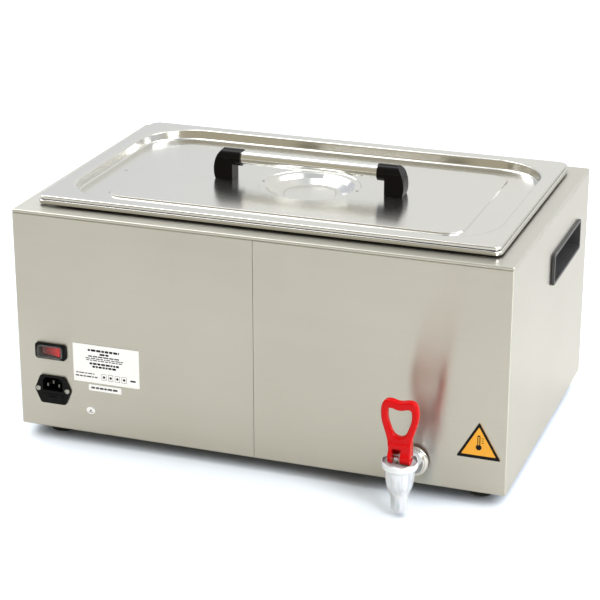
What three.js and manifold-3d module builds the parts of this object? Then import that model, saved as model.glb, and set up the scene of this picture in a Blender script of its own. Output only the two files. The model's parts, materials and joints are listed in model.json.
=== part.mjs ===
// Paraffin wax bath: a steel casing round a water tank, a lift-out pan with a lid, a drain tap, controls.
// Millimetres, +Z up, +X to the right along the tap side, which faces -Y. The feet stand on z = 0.
import * as THREE from "three";
import { mergeVertices } from "three/addons/utils/BufferGeometryUtils.js";
import Module from "manifold-3d";

const wasm = await Module();
wasm.setup();

// ---- driving dimensions -----------------------------------------------------------------------------
const GAP = 0.3; // left between pieces that touch
const SHEET = 1.2; // casing and deck sheet
const THIN = 1; // pressed sheet of tank, pan and lid

const CASE_LENGTH = 570;
const CASE_DEPTH = 368;
const CASE_TOP = 273;
const FOOT_HEIGHT = 15;
const FRONT_SHIFT = 25.5; // moves the casing back, so that tap and knob together are centred on y = 0
const DECK_EDGE = 3; // height of the deck's turned-down edge
const CASE_CORNER = 3;
const TOP_FLANGE = 14;
const BOTTOM_FLANGE = 45;

const FOOT_X = 250;
const FOOT_Y = 147;
const FOOT_RADIUS = 16;
const FOOT_SCREW_RADIUS = 2.4;
const FOOT_SCREW_HOLE = 2.8;

const TANK_LENGTH = 510; // inside
const TANK_DEPTH = 306;
const TANK_CORNER = 40;
const TANK_FLOOR = 95; // underside
const CURB_TOP = 279;
const CURB_WIDTH = 6;
const DECK_CLEARANCE = 2.5; // between the deck's opening and the tank
const WOOL_THICKNESS = 5;

const RIM_LENGTH = 530; // outer size of the pan, the standard 1/1 tray size
const RIM_DEPTH = 325;
const RIM_CORNER = 9;
const PAN_TOP = 280.3;
const PAN_HEIGHT = 150;
const PAN_LENGTH = 504;
const PAN_DEPTH = 299;
const PAN_CORNER = 60;
const PAN_SLOPE = 0.05;
const PAN_EDGE = 12; // rounding of the pan's lower edge
const LIP = 4;
const PAN_LIP = 5.6;
const LID_INSET = 1.5; // the lid's edge stands this far inside the pan's

const LID_TOP = 284.6;
const TROUGH_TOP = 274;
const PLATEAU_TOP = 276;
const RECESS_LENGTH = 495;
const RECESS_DEPTH = 287;
const RECESS_CORNER = 60;
const PLATEAU_LENGTH = 416;
const PLATEAU_DEPTH = 220;
const PLATEAU_CORNER = 22;
const DISH_RADIUS = 52;
const DISH_FLOOR = 265.2;
const HANDLE_AXIS = 300.9;
const HANDLE_RADIUS = 7.8;
const HANDLE_LENGTH = 200;
const BRACKET_INNER = 82; // where its sleeve ends
const BRACKET_OUTER = 115;
const BRACKET_LEG = 91.3; // inner face of the leg
const BRACKET_HALF = 9.8; // half the bracket's width
const BRACKET_TOP = HANDLE_AXIS + BRACKET_HALF;
const BRACKET_SCREW_X = 103;

const GRIP_Y = 63;
const GRIP_Z = 209.3;
const GRIP_LENGTH = 136;
const GRIP_HEIGHT = 37.2;
const GRIP_RECESS = 18;
const GRIP_BEZEL = 3; // how far the bezel laps the wall

const TAP_X = 183;
const TAP_Z = 42.7; // shank axis
const TAP_REACH = 51; // from the casing to the upright axis of the tap
const SHANK_RADIUS = 8.8;
const SHANK_TAIL = 30; // inside the casing
const SPOUT_BOTTOM = -34.3; // measured from the shank axis, as are the next four
const COLLAR_BOTTOM = 12;
const COLLAR_SEAT = 19.3; // where the lever's cams bear
const COLLAR_TOP = 21.8;
const VALVE_SEAT = -12;
const CAM_RADIUS = 8;
const CAM_OFFSET = 3;
const LEVER_PIN = COLLAR_SEAT + GAP + CAM_RADIUS;
const DRAIN_Y = 59; // drain axis, measured from the tap side of the casing

const SWITCH_X = -244;
const SWITCH_Z = 109.3;
const ROCKER_TILT = THREE.MathUtils.degToRad(10);
const ROCKER_PIVOT = 4;
const INLET_X = -243.1;
const INLET_Z = 62.5;
const SOCKET_Z = 6.8; // socket and drawer centres, measured from the middle of the inlet
const DRAWER_Z = -9.4;
const INLET_DEPTH = 30;
const INLET_SCREW_X = 18;
const INLET_SCREW_Z = 0.6;
const KNOB_X = -190;
const KNOB_Z = 62;
const LAMP_OFFSET = 42;
const ELEMENT_Z = 90.4;
const ELEMENT_RADIUS = 4;

const STEEL = { color: 0xbbb6a5, roughness: 0.35, metalness: 1 };
const BRIGHT_STEEL = { color: 0xd8d8d2, roughness: 0.2, metalness: 1 };
const BLACK_PLASTIC = { color: 0x161616, roughness: 0.35, metalness: 0 };
const RUBBER = { color: 0x1a1a1a, roughness: 0.85, metalness: 0 };
const RED_PLASTIC = { color: 0xc8101c, roughness: 0.2, metalness: 0 };
const CLEAR_PLASTIC = { color: 0xe6ecec, roughness: 0.15, metalness: 0, transparent: true, opacity: 0.6 };
const WHITE_PLASTIC = { color: 0xe4e6e6, roughness: 0.4, metalness: 0 };
const LABEL_WHITE = { color: 0xf2f2f0, roughness: 0.5, metalness: 0 };
const LABEL_YELLOW = { color: 0xf5a81e, roughness: 0.5, metalness: 0 };
const BRASS = { color: 0xc9a75a, roughness: 0.3, metalness: 1 };
const CERAMIC = { color: 0xefe9dc, roughness: 0.5, metalness: 0 };
const WOOL = { color: 0xcfc9b4, roughness: 1, metalness: 0 };
const WIRE = { color: 0x8a3a22, roughness: 0.5, metalness: 0 };

// ---- solids from three.js geometry ------------------------------------------------------------------
function solid(geometry) {
  const bare = geometry.index ? geometry.toNonIndexed() : geometry.clone();
  bare.deleteAttribute("normal");
  bare.deleteAttribute("uv");
  const merged = mergeVertices(bare, 1e-4);
  const triVerts = [];
  for (let i = 0; i < merged.index.count; i += 3) {
    const [a, b, c] = [0, 1, 2].map((k) => merged.index.getX(i + k));
    if (a !== b && b !== c && c !== a) triVerts.push(a, b, c);
  }
  const vertProperties = merged.attributes.position.array;
  const whole = new wasm.Mesh({ numProp: 3, vertProperties, triVerts: new Uint32Array(triVerts) });
  return new wasm.Manifold(whole);
}

function roundedRect(width, height, radius, x = 0, y = 0) {
  const shape = new THREE.Shape();
  const [w, h] = [width / 2 - radius, height / 2 - radius];
  shape.absarc(x + w, y + h, radius, 0, Math.PI / 2);
  shape.absarc(x - w, y + h, radius, Math.PI / 2, Math.PI);
  shape.absarc(x - w, y - h, radius, Math.PI, 1.5 * Math.PI);
  shape.absarc(x + w, y - h, radius, 1.5 * Math.PI, 2 * Math.PI);
  return shape;
}

function polygon(points) {
  return new THREE.Shape(points.map(([x, y]) => new THREE.Vector2(x, y)));
}

// A shape in x and y, raised from z0 to z1.
function upright(shape, z0, z1, curveSegments = 3) {
  const geometry = new THREE.ExtrudeGeometry(shape, { depth: z1 - z0, bevelEnabled: false, curveSegments });
  return solid(geometry.translate(0, 0, z0));
}

// A shape in x and z, running along y from y0 to y1: the way that pieces sit in a wall.
function inward(shape, y0, y1, curveSegments = 3) {
  const geometry = new THREE.ExtrudeGeometry(shape, { depth: y1 - y0, bevelEnabled: false, curveSegments });
  return solid(geometry.rotateX(Math.PI / 2).translate(0, y1, 0));
}

// A shape in y and z, running along x from x0 to x1.
function sideways(shape, x0, x1, curveSegments = 3) {
  const geometry = new THREE.ExtrudeGeometry(shape, { depth: x1 - x0, bevelEnabled: false, curveSegments });
  return solid(geometry.rotateY(Math.PI / 2).rotateX(Math.PI / 2).translate(x0, 0, 0));
}

function box(x0, x1, y0, y1, z0, z1) {
  const geometry = new THREE.BoxGeometry(x1 - x0, y1 - y0, z1 - z0);
  return solid(geometry.translate((x0 + x1) / 2, (y0 + y1) / 2, (z0 + z1) / 2));
}

// A solid of revolution about z from [radius, height] points; its outline closes on itself or on the axis.
function turned(points, segments = 20) {
  const outline = points.map(([r, z]) => new THREE.Vector2(r, z));
  const onAxis = points[0][0] === 0 && points.at(-1)[0] === 0;
  if (!onAxis) outline.push(outline[0].clone());
  if (THREE.ShapeUtils.area(outline) < 0) outline.reverse();
  return solid(new THREE.LatheGeometry(outline, segments).rotateX(Math.PI / 2));
}

function disc(radius, z0, z1, segments = 20) {
  const profile = [
    [0, z0],
    [radius, z0],
    [radius, z1],
    [0, z1],
  ];
  return turned(profile, segments);
}

const alongY = (part) => part.rotate([-90, 0, 0]); // z becomes y
const alongX = (part) => part.rotate([0, 90, 0]); // z becomes x

// Leans the walls of a geometry in towards its middle below zTop.
function draft(geometry, zTop, slope) {
  const place = geometry.attributes.position;
  for (let i = 0; i < place.count; i++) {
    const inset = slope * (zTop - place.getZ(i));
    place.setX(i, place.getX(i) - Math.sign(place.getX(i)) * inset);
    place.setY(i, place.getY(i) - Math.sign(place.getY(i)) * inset);
  }
  return geometry;
}

// A block with a rounded lower edge and leaning walls, measured at zTop, as deep-drawn sheet has.
function drawn(length, depth, corner, z0, z1, { zTop, slope, edge }) {
  const settings = {
    depth: z1 - z0 - edge,
    curveSegments: 3,
    bevelThickness: edge,
    bevelSize: edge,
    bevelOffset: -edge,
    bevelSegments: 3,
  };
  const geometry = new THREE.ExtrudeGeometry(roundedRect(length, depth, corner), settings);
  geometry.translate(0, 0, z0 + edge);
  return solid(draft(geometry, zTop, slope)).subtract(box(-400, 400, -300, 300, z1, z1 + 2 * edge + 1));
}

// A bar of the given section along a smooth curve through points.
function swept(points, section, steps) {
  const places = points.map((point) => new THREE.Vector3(...point));
  const extrudePath = new THREE.CatmullRomCurve3(places, false, "catmullrom");
  return solid(new THREE.ExtrudeGeometry(section, { steps, extrudePath, curveSegments: 2 }));
}

function ringSection(radius, sides) {
  const corners = [];
  for (let i = 0; i < sides; i++) {
    const angle = (2 * Math.PI * i) / sides;
    corners.push([radius * Math.cos(angle), radius * Math.sin(angle)]);
  }
  return polygon(corners);
}

function mesh(name, part, look) {
  const made = part.getMesh();
  const geometry = new THREE.BufferGeometry();
  geometry.setAttribute("position", new THREE.BufferAttribute(new Float32Array(made.vertProperties), 3));
  geometry.setIndex(new THREE.BufferAttribute(new Uint32Array(made.triVerts), 1));
  const piece = new THREE.Mesh(geometry, new THREE.MeshStandardMaterial(look));
  piece.name = name;
  return piece;
}

function group(x, y, z, turn, pieces) {
  const holder = new THREE.Group();
  holder.position.set(x, y, z);
  holder.rotation.z = turn;
  holder.add(...pieces);
  return holder;
}

// ---- casing -----------------------------------------------------------------------------------------
const FRONT = -CASE_DEPTH / 2;
const SIDE = CASE_LENGTH / 2;
const DECK_OPENING = tankOutline(DECK_CLEARANCE);

function tankOutline(grow) {
  return roundedRect(TANK_LENGTH + 2 * grow, TANK_DEPTH + 2 * grow, TANK_CORNER + grow);
}

function caseOutline(inset) {
  return roundedRect(CASE_LENGTH - 2 * inset, CASE_DEPTH - 2 * inset, CASE_CORNER - inset);
}

function wallOpenings() {
  const [gripLength, gripHeight] = [GRIP_LENGTH - 2 * GRIP_BEZEL, GRIP_HEIGHT - 2 * GRIP_BEZEL];
  const gripOutline = roundedRect(gripLength, gripHeight, 2, GRIP_Y, GRIP_Z);
  const opening = (shape, x, z) => inward(shape, FRONT - 5, FRONT + 5).translate([x, 0, z]);
  const hole = (radius, x, z) => alongY(disc(radius, -5, 5)).translate([x, FRONT, z]);
  const cuts = [
    opening(roundedRect(35, 15.4, 1), SWITCH_X, SWITCH_Z),
    opening(roundedRect(28, 32, 1), INLET_X, INLET_Z),
    hole(1.8, INLET_X - INLET_SCREW_X, INLET_Z + INLET_SCREW_Z),
    hole(1.8, INLET_X + INLET_SCREW_X, INLET_Z + INLET_SCREW_Z),
    hole(SHANK_RADIUS + GAP, TAP_X, TAP_Z),
    hole(3.4, KNOB_X, KNOB_Z).translate([0, CASE_DEPTH, 0]),
    hole(5.2, KNOB_X + LAMP_OFFSET, KNOB_Z).translate([0, CASE_DEPTH, 0]),
    sideways(gripOutline, -SIDE - 5, -SIDE + 5),
    sideways(gripOutline, SIDE - 5, SIDE + 5),
  ];
  return cuts.reduce((all, cut) => all.add(cut));
}

function footHoles(radius) {
  const holes = [];
  for (const x of [-FOOT_X, FOOT_X]) {
    for (const y of [-FOOT_Y, FOOT_Y]) holes.push(disc(radius, 0, 30, 12).translate([x, y, 0]));
  }
  return holes.reduce((all, hole) => all.add(hole));
}

function flangeGap(width, z0, z1) {
  return box(-SIDE + width, SIDE - width, FRONT + width, -FRONT - width, z0, z1);
}

function casing() {
  const wallTop = CASE_TOP - DECK_EDGE - GAP;
  const shell = upright(caseOutline(0), FOOT_HEIGHT, wallTop, 2)
    .subtract(upright(caseOutline(SHEET), FOOT_HEIGHT + SHEET, wallTop - SHEET, 2))
    .subtract(flangeGap(TOP_FLANGE, wallTop - 20, wallTop + 20))
    .subtract(flangeGap(BOTTOM_FLANGE, 0, FOOT_HEIGHT + 20))
    .subtract(wallOpenings())
    .subtract(footHoles(FOOT_SCREW_HOLE));
  const otherHalf = box(-300, 300, -200, 200, 0, 300);
  const half = (side) => shell.subtract(otherHalf.translate([side * (300 - GAP / 2), 0, 0]));

  const deck = upright(caseOutline(0), CASE_TOP - DECK_EDGE, CASE_TOP, 2)
    .subtract(upright(caseOutline(SHEET), CASE_TOP - DECK_EDGE - 1, CASE_TOP - SHEET, 2))
    .subtract(upright(DECK_OPENING, CASE_TOP - 10, CASE_TOP + 10));

  const floorTop = FOOT_HEIGHT + SHEET + GAP + SHEET;
  let floor = upright(caseOutline(2), floorTop - SHEET, floorTop).subtract(footHoles(FOOT_SCREW_HOLE));
  for (const x of [-90, -30, 30, 90]) {
    for (const y of [-60, 60]) floor = floor.subtract(upright(roundedRect(8, 60, 4, x, y), 0, 50, 1));
  }

  return [
    mesh("casing_left", half(1), STEEL),
    mesh("casing_right", half(-1), STEEL),
    mesh("top_deck", deck, STEEL),
    mesh("base_plate", floor, STEEL),
  ];
}

function feet() {
  const footProfile = [
    [6, 0],
    [FOOT_RADIUS - 2, 0],
    [FOOT_RADIUS - 0.5, 1.5],
    [FOOT_RADIUS, FOOT_HEIGHT - GAP],
    [FOOT_SCREW_HOLE, FOOT_HEIGHT - GAP],
    [FOOT_SCREW_HOLE, 5],
    [6, 5],
  ];
  const screwProfile = [
    [0, 2],
    [4.5, 2],
    [4.5, 4.7],
    [FOOT_SCREW_RADIUS, 4.7],
    [FOOT_SCREW_RADIUS, FOOT_HEIGHT + 8],
    [0, FOOT_HEIGHT + 8],
  ];
  const places = { left: -FOOT_X, right: FOOT_X, front: -FOOT_Y, rear: FOOT_Y };
  const made = [];
  for (const side of ["left", "right"]) {
    for (const row of ["front", "rear"]) {
      const pieces = [
        mesh(`foot_${row}_${side}`, turned(footProfile, 16), RUBBER),
        mesh(`foot_screw_${row}_${side}`, turned(screwProfile, 10), BRIGHT_STEEL),
      ];
      made.push(group(places[side], places[row], 0, 0, pieces));
    }
  }
  return made;
}

// ---- water tank, insulation, drain ------------------------------------------------------------------
function well() {
  const wall = upright(tankOutline(THIN), TANK_FLOOR, CURB_TOP);
  const curb = upright(tankOutline(CURB_WIDTH), CASE_TOP + GAP, CURB_TOP);
  const channel = upright(tankOutline(CURB_WIDTH - THIN), CASE_TOP, CURB_TOP - THIN).subtract(wall);
  const tank = wall
    .add(curb)
    .subtract(channel)
    .subtract(upright(tankOutline(0), TANK_FLOOR + THIN, 300))
    .subtract(disc(7, TANK_FLOOR - 5, TANK_FLOOR + 5).translate([TAP_X, FRONT + DRAIN_Y, 0]));
  const sleeve = upright(tankOutline(THIN + 1 + WOOL_THICKNESS), 100, 266).subtract(
    upright(tankOutline(THIN + 1), 90, 270),
  );

  // Elbow: a flange under the tank floor, down, then forward to the tail of the tap.
  const bendRadius = 20;
  const tube = ringSection(9, 10);
  tube.holes.push(ringSection(6.8, 10));
  const bend = [];
  for (let i = 0; i <= 6; i++) {
    const angle = (i / 6) * (Math.PI / 2);
    const forward = bendRadius * (1 - Math.cos(angle));
    bend.push([TAP_X, FRONT + DRAIN_Y - forward, TAP_Z + bendRadius * (1 - Math.sin(angle))]);
  }
  const route = [
    [TAP_X, FRONT + DRAIN_Y, TANK_FLOOR - GAP],
    [TAP_X, FRONT + DRAIN_Y, TAP_Z + 36],
    ...bend,
    [TAP_X, FRONT + SHANK_TAIL + GAP, TAP_Z],
  ];
  const flange = turned([
    [8, TANK_FLOOR - GAP - 2],
    [17, TANK_FLOOR - GAP - 2],
    [17, TANK_FLOOR - GAP],
    [8, TANK_FLOOR - GAP],
  ]);
  const elbow = swept(route, tube, 16).add(flange.translate([TAP_X, FRONT + DRAIN_Y, 0]));
  return [
    mesh("well_tank", tank, BRIGHT_STEEL),
    mesh("well_insulation", sleeve, WOOL),
    mesh("drain_elbow", elbow, BRIGHT_STEEL),
  ];
}

// ---- pan and lid ------------------------------------------------------------------------------------
// A flat sheet whose edge is turned down.
function turnedEdge(length, depth, corner, z0, z1) {
  const under = roundedRect(length - 2 * THIN, depth - 2 * THIN, corner - THIN);
  return upright(roundedRect(length, depth, corner), z0, z1).subtract(upright(under, 0, z1 - THIN));
}

function pan() {
  const floor = PAN_TOP - PAN_HEIGHT;
  const lean = { zTop: PAN_TOP, slope: PAN_SLOPE };
  const rim = turnedEdge(RIM_LENGTH, RIM_DEPTH, RIM_CORNER, PAN_TOP - PAN_LIP, PAN_TOP);
  const outer = drawn(PAN_LENGTH, PAN_DEPTH, PAN_CORNER, floor, PAN_TOP, { ...lean, edge: PAN_EDGE });
  const inner = drawn(
    PAN_LENGTH - 2 * THIN,
    PAN_DEPTH - 2 * THIN,
    PAN_CORNER - THIN,
    floor + THIN,
    PAN_TOP + 5,
    { ...lean, edge: PAN_EDGE - THIN },
  );
  return mesh("wax_pan", rim.add(outer).subtract(inner), BRIGHT_STEEL);
}

function lidSheet() {
  const lean = { zTop: LID_TOP, slope: 0.25, edge: 2 };
  const sheet = 2 * THIN;
  const [length, depth] = [RIM_LENGTH - 2 * LID_INSET, RIM_DEPTH - 2 * LID_INSET];
  const rim = turnedEdge(length, depth, RIM_CORNER - LID_INSET, LID_TOP - LIP, LID_TOP);
  const tray = drawn(
    RECESS_LENGTH + sheet,
    RECESS_DEPTH + sheet,
    RECESS_CORNER + THIN,
    TROUGH_TOP - THIN,
    LID_TOP,
    lean,
  );
  const recess = drawn(RECESS_LENGTH, RECESS_DEPTH, RECESS_CORNER, TROUGH_TOP, LID_TOP + 5, lean);
  const plateau = upright(
    roundedRect(PLATEAU_LENGTH, PLATEAU_DEPTH, PLATEAU_CORNER),
    TROUGH_TOP - THIN / 2,
    PLATEAU_TOP,
  );
  const hollow = upright(
    roundedRect(PLATEAU_LENGTH - sheet, PLATEAU_DEPTH - sheet, PLATEAU_CORNER - THIN),
    0,
    PLATEAU_TOP - THIN,
  );
  const dishProfile = [
    [0, DISH_FLOOR - 1.2],
    [33.5, DISH_FLOOR - 1.2],
    [37, 264.8],
    [46, 268],
    [51, 272],
    [DISH_RADIUS + 1, 275],
    [DISH_RADIUS + 1, PLATEAU_TOP],
    [DISH_RADIUS - 0.4, 275.7],
    [49.5, 272.5],
    [44.8, 268.9],
    [36.4, 265.8],
    [33, DISH_FLOOR],
    [0, DISH_FLOOR],
  ];
  const hole = (radius, x, y) => disc(radius, 260, 280, 12).translate([x, y, 0]);
  return rim
    .add(tray)
    .subtract(recess)
    .add(plateau)
    .subtract(hollow)
    .subtract(disc(DISH_RADIUS, 260, 280, 28))
    .add(turned(dishProfile, 28))
    .subtract(hole(1.25, -224, -11.5))
    .subtract(hole(1.5, -56.5, 0))
    .subtract(hole(1.5, 56.5, 0))
    .subtract(hole(2.6, -BRACKET_SCREW_X, 0))
    .subtract(hole(2.6, BRACKET_SCREW_X, 0));
}

// The right-hand bracket; the left one is the same piece turned round.
function bracketSolid() {
  const base = PLATEAU_TOP + GAP;
  const side = new THREE.Shape();
  side.moveTo(BRACKET_LEG, base);
  side.lineTo(BRACKET_OUTER - 2.5, base);
  side.bezierCurveTo(BRACKET_OUTER + 2, 288, BRACKET_OUTER - 2, 304, BRACKET_OUTER - 10, BRACKET_TOP);
  side.lineTo(BRACKET_LEG, BRACKET_TOP);
  const arch = new THREE.Shape();
  arch.moveTo(-BRACKET_HALF, base - 1);
  arch.lineTo(BRACKET_HALF, base - 1);
  arch.absarc(0, BRACKET_TOP - BRACKET_HALF, BRACKET_HALF, 0, Math.PI);
  const tubeHole = alongX(disc(HANDLE_RADIUS + GAP, 0, HANDLE_LENGTH / 2 + 0.5));
  const sleeve = alongX(disc(BRACKET_HALF, BRACKET_INNER, BRACKET_LEG + 4));
  return inward(side, -15, 15)
    .intersect(sideways(arch, BRACKET_INNER - 10, BRACKET_OUTER + 10, 5))
    .add(sleeve.translate([0, 0, HANDLE_AXIS]))
    .subtract(tubeHole.translate([0, 0, HANDLE_AXIS]))
    .subtract(disc(2.3, base - 1, base + 12, 12).translate([BRACKET_SCREW_X, 0, 0]));
}

function lid() {
  const tube = turned([
    [HANDLE_RADIUS - THIN, -HANDLE_LENGTH / 2],
    [HANDLE_RADIUS, -HANDLE_LENGTH / 2],
    [HANDLE_RADIUS, HANDLE_LENGTH / 2],
    [HANDLE_RADIUS - THIN, HANDLE_LENGTH / 2],
  ]);
  const underside = PLATEAU_TOP - THIN - GAP;
  const screwProfile = [
    [0, underside - 2.2],
    [4.5, underside - 2.2],
    [4.5, underside],
    [2, underside],
    [2, PLATEAU_TOP + 11],
    [0, PLATEAU_TOP + 11],
  ];
  const screw = turned(screwProfile, 12).translate([BRACKET_SCREW_X, 0, 0]);
  const bracket = bracketSolid();
  const side = (name) => [
    mesh(`lid_bracket_${name}`, bracket, BLACK_PLASTIC),
    mesh(`lid_screw_${name}`, screw, BRIGHT_STEEL),
  ];
  return [
    mesh("lid", lidSheet(), BRIGHT_STEEL),
    mesh("lid_handle_tube", alongX(tube).translate([0, 0, HANDLE_AXIS]), BRIGHT_STEEL),
    group(0, 0, 0, 0, side("right")),
    group(0, 0, 0, Math.PI, side("left")),
  ];
}

// ---- carrying handles, let into the end walls -------------------------------------------------------
function grips() {
  const outline = (inset, corner) => roundedRect(GRIP_LENGTH - 2 * inset, GRIP_HEIGHT - 2 * inset, corner);
  const bezel = inward(outline(0, 4), -3.5, -GAP);
  const body = inward(outline(GRIP_BEZEL + GAP, 2), -1, GRIP_RECESS + 2);
  const cavity = inward(outline(GRIP_BEZEL + 2, 2), -5, GRIP_RECESS);
  const shell = bezel.add(body).subtract(cavity);
  return [
    group(SIDE, GRIP_Y, GRIP_Z, Math.PI / 2, [mesh("side_handle_right", shell, BLACK_PLASTIC)]),
    group(-SIDE, GRIP_Y, GRIP_Z, -Math.PI / 2, [mesh("side_handle_left", shell, BLACK_PLASTIC)]),
  ];
}

// ---- drain tap: origin where the shank's axis meets the casing --------------------------------------
function leverSolid() {
  const cheek = new THREE.Shape();
  cheek.absarc(-CAM_OFFSET, 0, CAM_RADIUS, 0, 2 * Math.PI);
  const cheeks = sideways(cheek, -11.2, 13, 10);
  const block = box(-11.2, 13, -8, 4, 0, 17);
  const loop = new THREE.Shape();
  loop.moveTo(-12.5, 12);
  loop.bezierCurveTo(-12.5, 26, -20.5, 34, -20.5, 49);
  loop.bezierCurveTo(-20.5, 60, -17, 64, -11, 64);
  loop.bezierCurveTo(-6, 64, -5, 62.3, 0, 62.3);
  loop.bezierCurveTo(5, 62.3, 6, 64, 11, 64);
  loop.bezierCurveTo(17, 64, 20.5, 60, 20.5, 49);
  loop.bezierCurveTo(20.5, 34, 12.5, 26, 12.5, 12);
  const hole = new THREE.Path();
  hole.moveTo(0, 22.5);
  hole.bezierCurveTo(5, 22.5, 7, 26, 8.8, 31);
  hole.bezierCurveTo(11, 37, 12.5, 42, 12.5, 47);
  hole.bezierCurveTo(12.5, 52, 11.8, 54.3, 9.8, 54.3);
  hole.bezierCurveTo(6.5, 54.3, 4, 52.4, 0, 52.4);
  hole.bezierCurveTo(-4, 52.4, -6.5, 54.3, -9.8, 54.3);
  hole.bezierCurveTo(-11.8, 54.3, -12.5, 52, -12.5, 47);
  hole.bezierCurveTo(-12.5, 42, -11, 37, -8.8, 31);
  hole.bezierCurveTo(-7, 26, -5, 22.5, 0, 22.5);
  loop.holes.push(hole);
  return cheeks
    .add(block)
    .add(inward(loop, -6.5, 2.5, 3))
    .subtract(box(-6.5, 2.7, -20, 20, -20, 10))
    .subtract(alongX(disc(1.8, -20, 20, 12)));
}

function coil(radius, wire, turns, z0, z1) {
  const pointsPerTurn = 9;
  const points = [];
  for (let i = 0; i <= turns * pointsPerTurn; i++) {
    const angle = (2 * Math.PI * i) / pointsPerTurn;
    const rise = (i / (turns * pointsPerTurn)) * (z1 - z0 - 2 * wire);
    points.push([radius * Math.cos(angle), radius * Math.sin(angle), z0 + wire + rise]);
  }
  return swept(points, ringSection(wire, 4), turns * pointsPerTurn);
}

function tapBody() {
  const barrel = turned([
    [0, SPOUT_BOTTOM],
    [8.2, SPOUT_BOTTOM],
    [8.9, SPOUT_BOTTOM + 1.3],
    [9.4, -20.5],
    [9.9, -16.9],
    [11.5, -13.2],
    [14.2, -6],
    [15.7, 4.9],
    [16, COLLAR_BOTTOM - GAP],
    [14, COLLAR_BOTTOM - GAP],
    [14, 15],
    [0, 15],
  ]);
  const bore = turned([
    [0, SPOUT_BOTTOM - 1],
    [6.8, SPOUT_BOTTOM - 1],
    [6.8, VALVE_SEAT],
    [9.3, VALVE_SEAT],
    [12, 2],
    [12, 20],
    [0, 20],
  ]);
  return barrel
    .add(alongY(disc(SHANK_RADIUS, 0, TAP_REACH + SHANK_TAIL)))
    .subtract(bore)
    .subtract(alongY(disc(6, 0, TAP_REACH + SHANK_TAIL + 1)));
}

function tap() {
  const cap = turned([
    [4.2, COLLAR_BOTTOM],
    [16.4, COLLAR_BOTTOM],
    [17, 14.5],
    [19.2, 16.8],
    [19.8, COLLAR_TOP],
    [18.2, COLLAR_TOP],
    [17.2, COLLAR_SEAT],
    [4.2, COLLAR_SEAT],
  ]);
  const collar = cap.subtract(disc(14.3, 0, 15.3));
  const ringBore = SHANK_RADIUS + GAP;
  const wallRing = turned([
    [ringBore, 2.6],
    [17.5, 2.6],
    [17.5, 5],
    [14.5, 6],
    [14.5, 9],
    [ringBore, 9],
  ]);
  const washer = turned([
    [ringBore, GAP],
    [15.5, GAP],
    [15.5, 2.3],
    [ringBore, 2.3],
  ]);
  const nut = disc(17, 0, 7, 6).subtract(disc(ringBore, -1, 8));
  const cupTop = -5;
  const cup = turned([
    [0, VALVE_SEAT + GAP],
    [8.8, VALVE_SEAT + GAP],
    [8.8, -9],
    [7, cupTop],
    [2.9, cupTop],
    [2.9, -9],
    [0, -9],
  ]);
  const eye = alongX(disc(4.2, -2.3, 2.3, 16)).translate([0, 0, LEVER_PIN]);
  const stem = disc(2.5, -9 + GAP, LEVER_PIN, 12)
    .add(eye)
    .subtract(alongX(disc(1.8, -20, 20, 12)).translate([0, 0, LEVER_PIN]));
  const pin = alongX(disc(1.5, -11.4, 13.2, 12)).translate([0, 0, LEVER_PIN]);

  const uprightParts = [
    mesh("tap_body", tapBody(), CLEAR_PLASTIC),
    mesh("tap_collar", collar, WHITE_PLASTIC),
    mesh("tap_seal_cup", cup, WHITE_PLASTIC),
    mesh("tap_stem", stem, WHITE_PLASTIC),
    mesh("tap_spring", coil(5, 0.6, 5, cupTop + GAP, 15), BRIGHT_STEEL),
    mesh("tap_lever", leverSolid().translate([0, 0, LEVER_PIN]), RED_PLASTIC),
    mesh("tap_lever_pin", pin, BRIGHT_STEEL),
  ];
  const outsideWall = [
    mesh("tap_wall_ring", wallRing.rotate([90, 0, 0]), BRIGHT_STEEL),
    mesh("tap_washer", washer.rotate([90, 0, 0]), RUBBER),
    mesh("tap_lock_nut", alongY(nut).translate([0, SHEET + GAP, 0]), BRIGHT_STEEL),
  ];
  return group(TAP_X, FRONT, TAP_Z, 0, [group(0, -TAP_REACH, 0, 0, uprightParts), ...outsideWall]);
}

// ---- switch and mains inlet: origins in the plane of the casing -------------------------------------
function mainsSwitch() {
  const [w, h, chamfer] = [19, 9.5, 2.5];
  const outline = polygon([
    [-w + chamfer, -h],
    [w - chamfer, -h],
    [w, -h + chamfer],
    [w, h - chamfer],
    [w - chamfer, h],
    [-w + chamfer, h],
    [-w, h - chamfer],
    [-w, -h + chamfer],
  ]);
  const frame = inward(outline, -2.5, -GAP)
    .add(inward(roundedRect(34.4, 14.8, 1), -1, 20))
    .subtract(inward(roundedRect(27, 11.5, 0.5), -3, 17));
  const section = polygon([
    [-12, -5.5],
    [0, -3.2],
    [12, -5.5],
    [12, -1],
    [5, 6],
    [-5, 6],
    [-12, -1],
  ]);
  const rocker = mesh("switch_rocker", upright(section, -5.4, 5.4), RED_PLASTIC);
  rocker.rotation.z = -ROCKER_TILT;
  rocker.position.y = ROCKER_PIVOT;
  const boot = inward(roundedRect(30, 14.5, 3), -7.3, -2.5 - GAP).subtract(
    inward(roundedRect(28.4, 12.9, 2.2), -6.5, 0),
  );
  return group(SWITCH_X, FRONT, SWITCH_Z, 0, [
    mesh("switch_frame", frame, BLACK_PLASTIC),
    rocker,
    mesh("switch_boot", boot, CLEAR_PLASTIC),
  ]);
}

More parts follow.
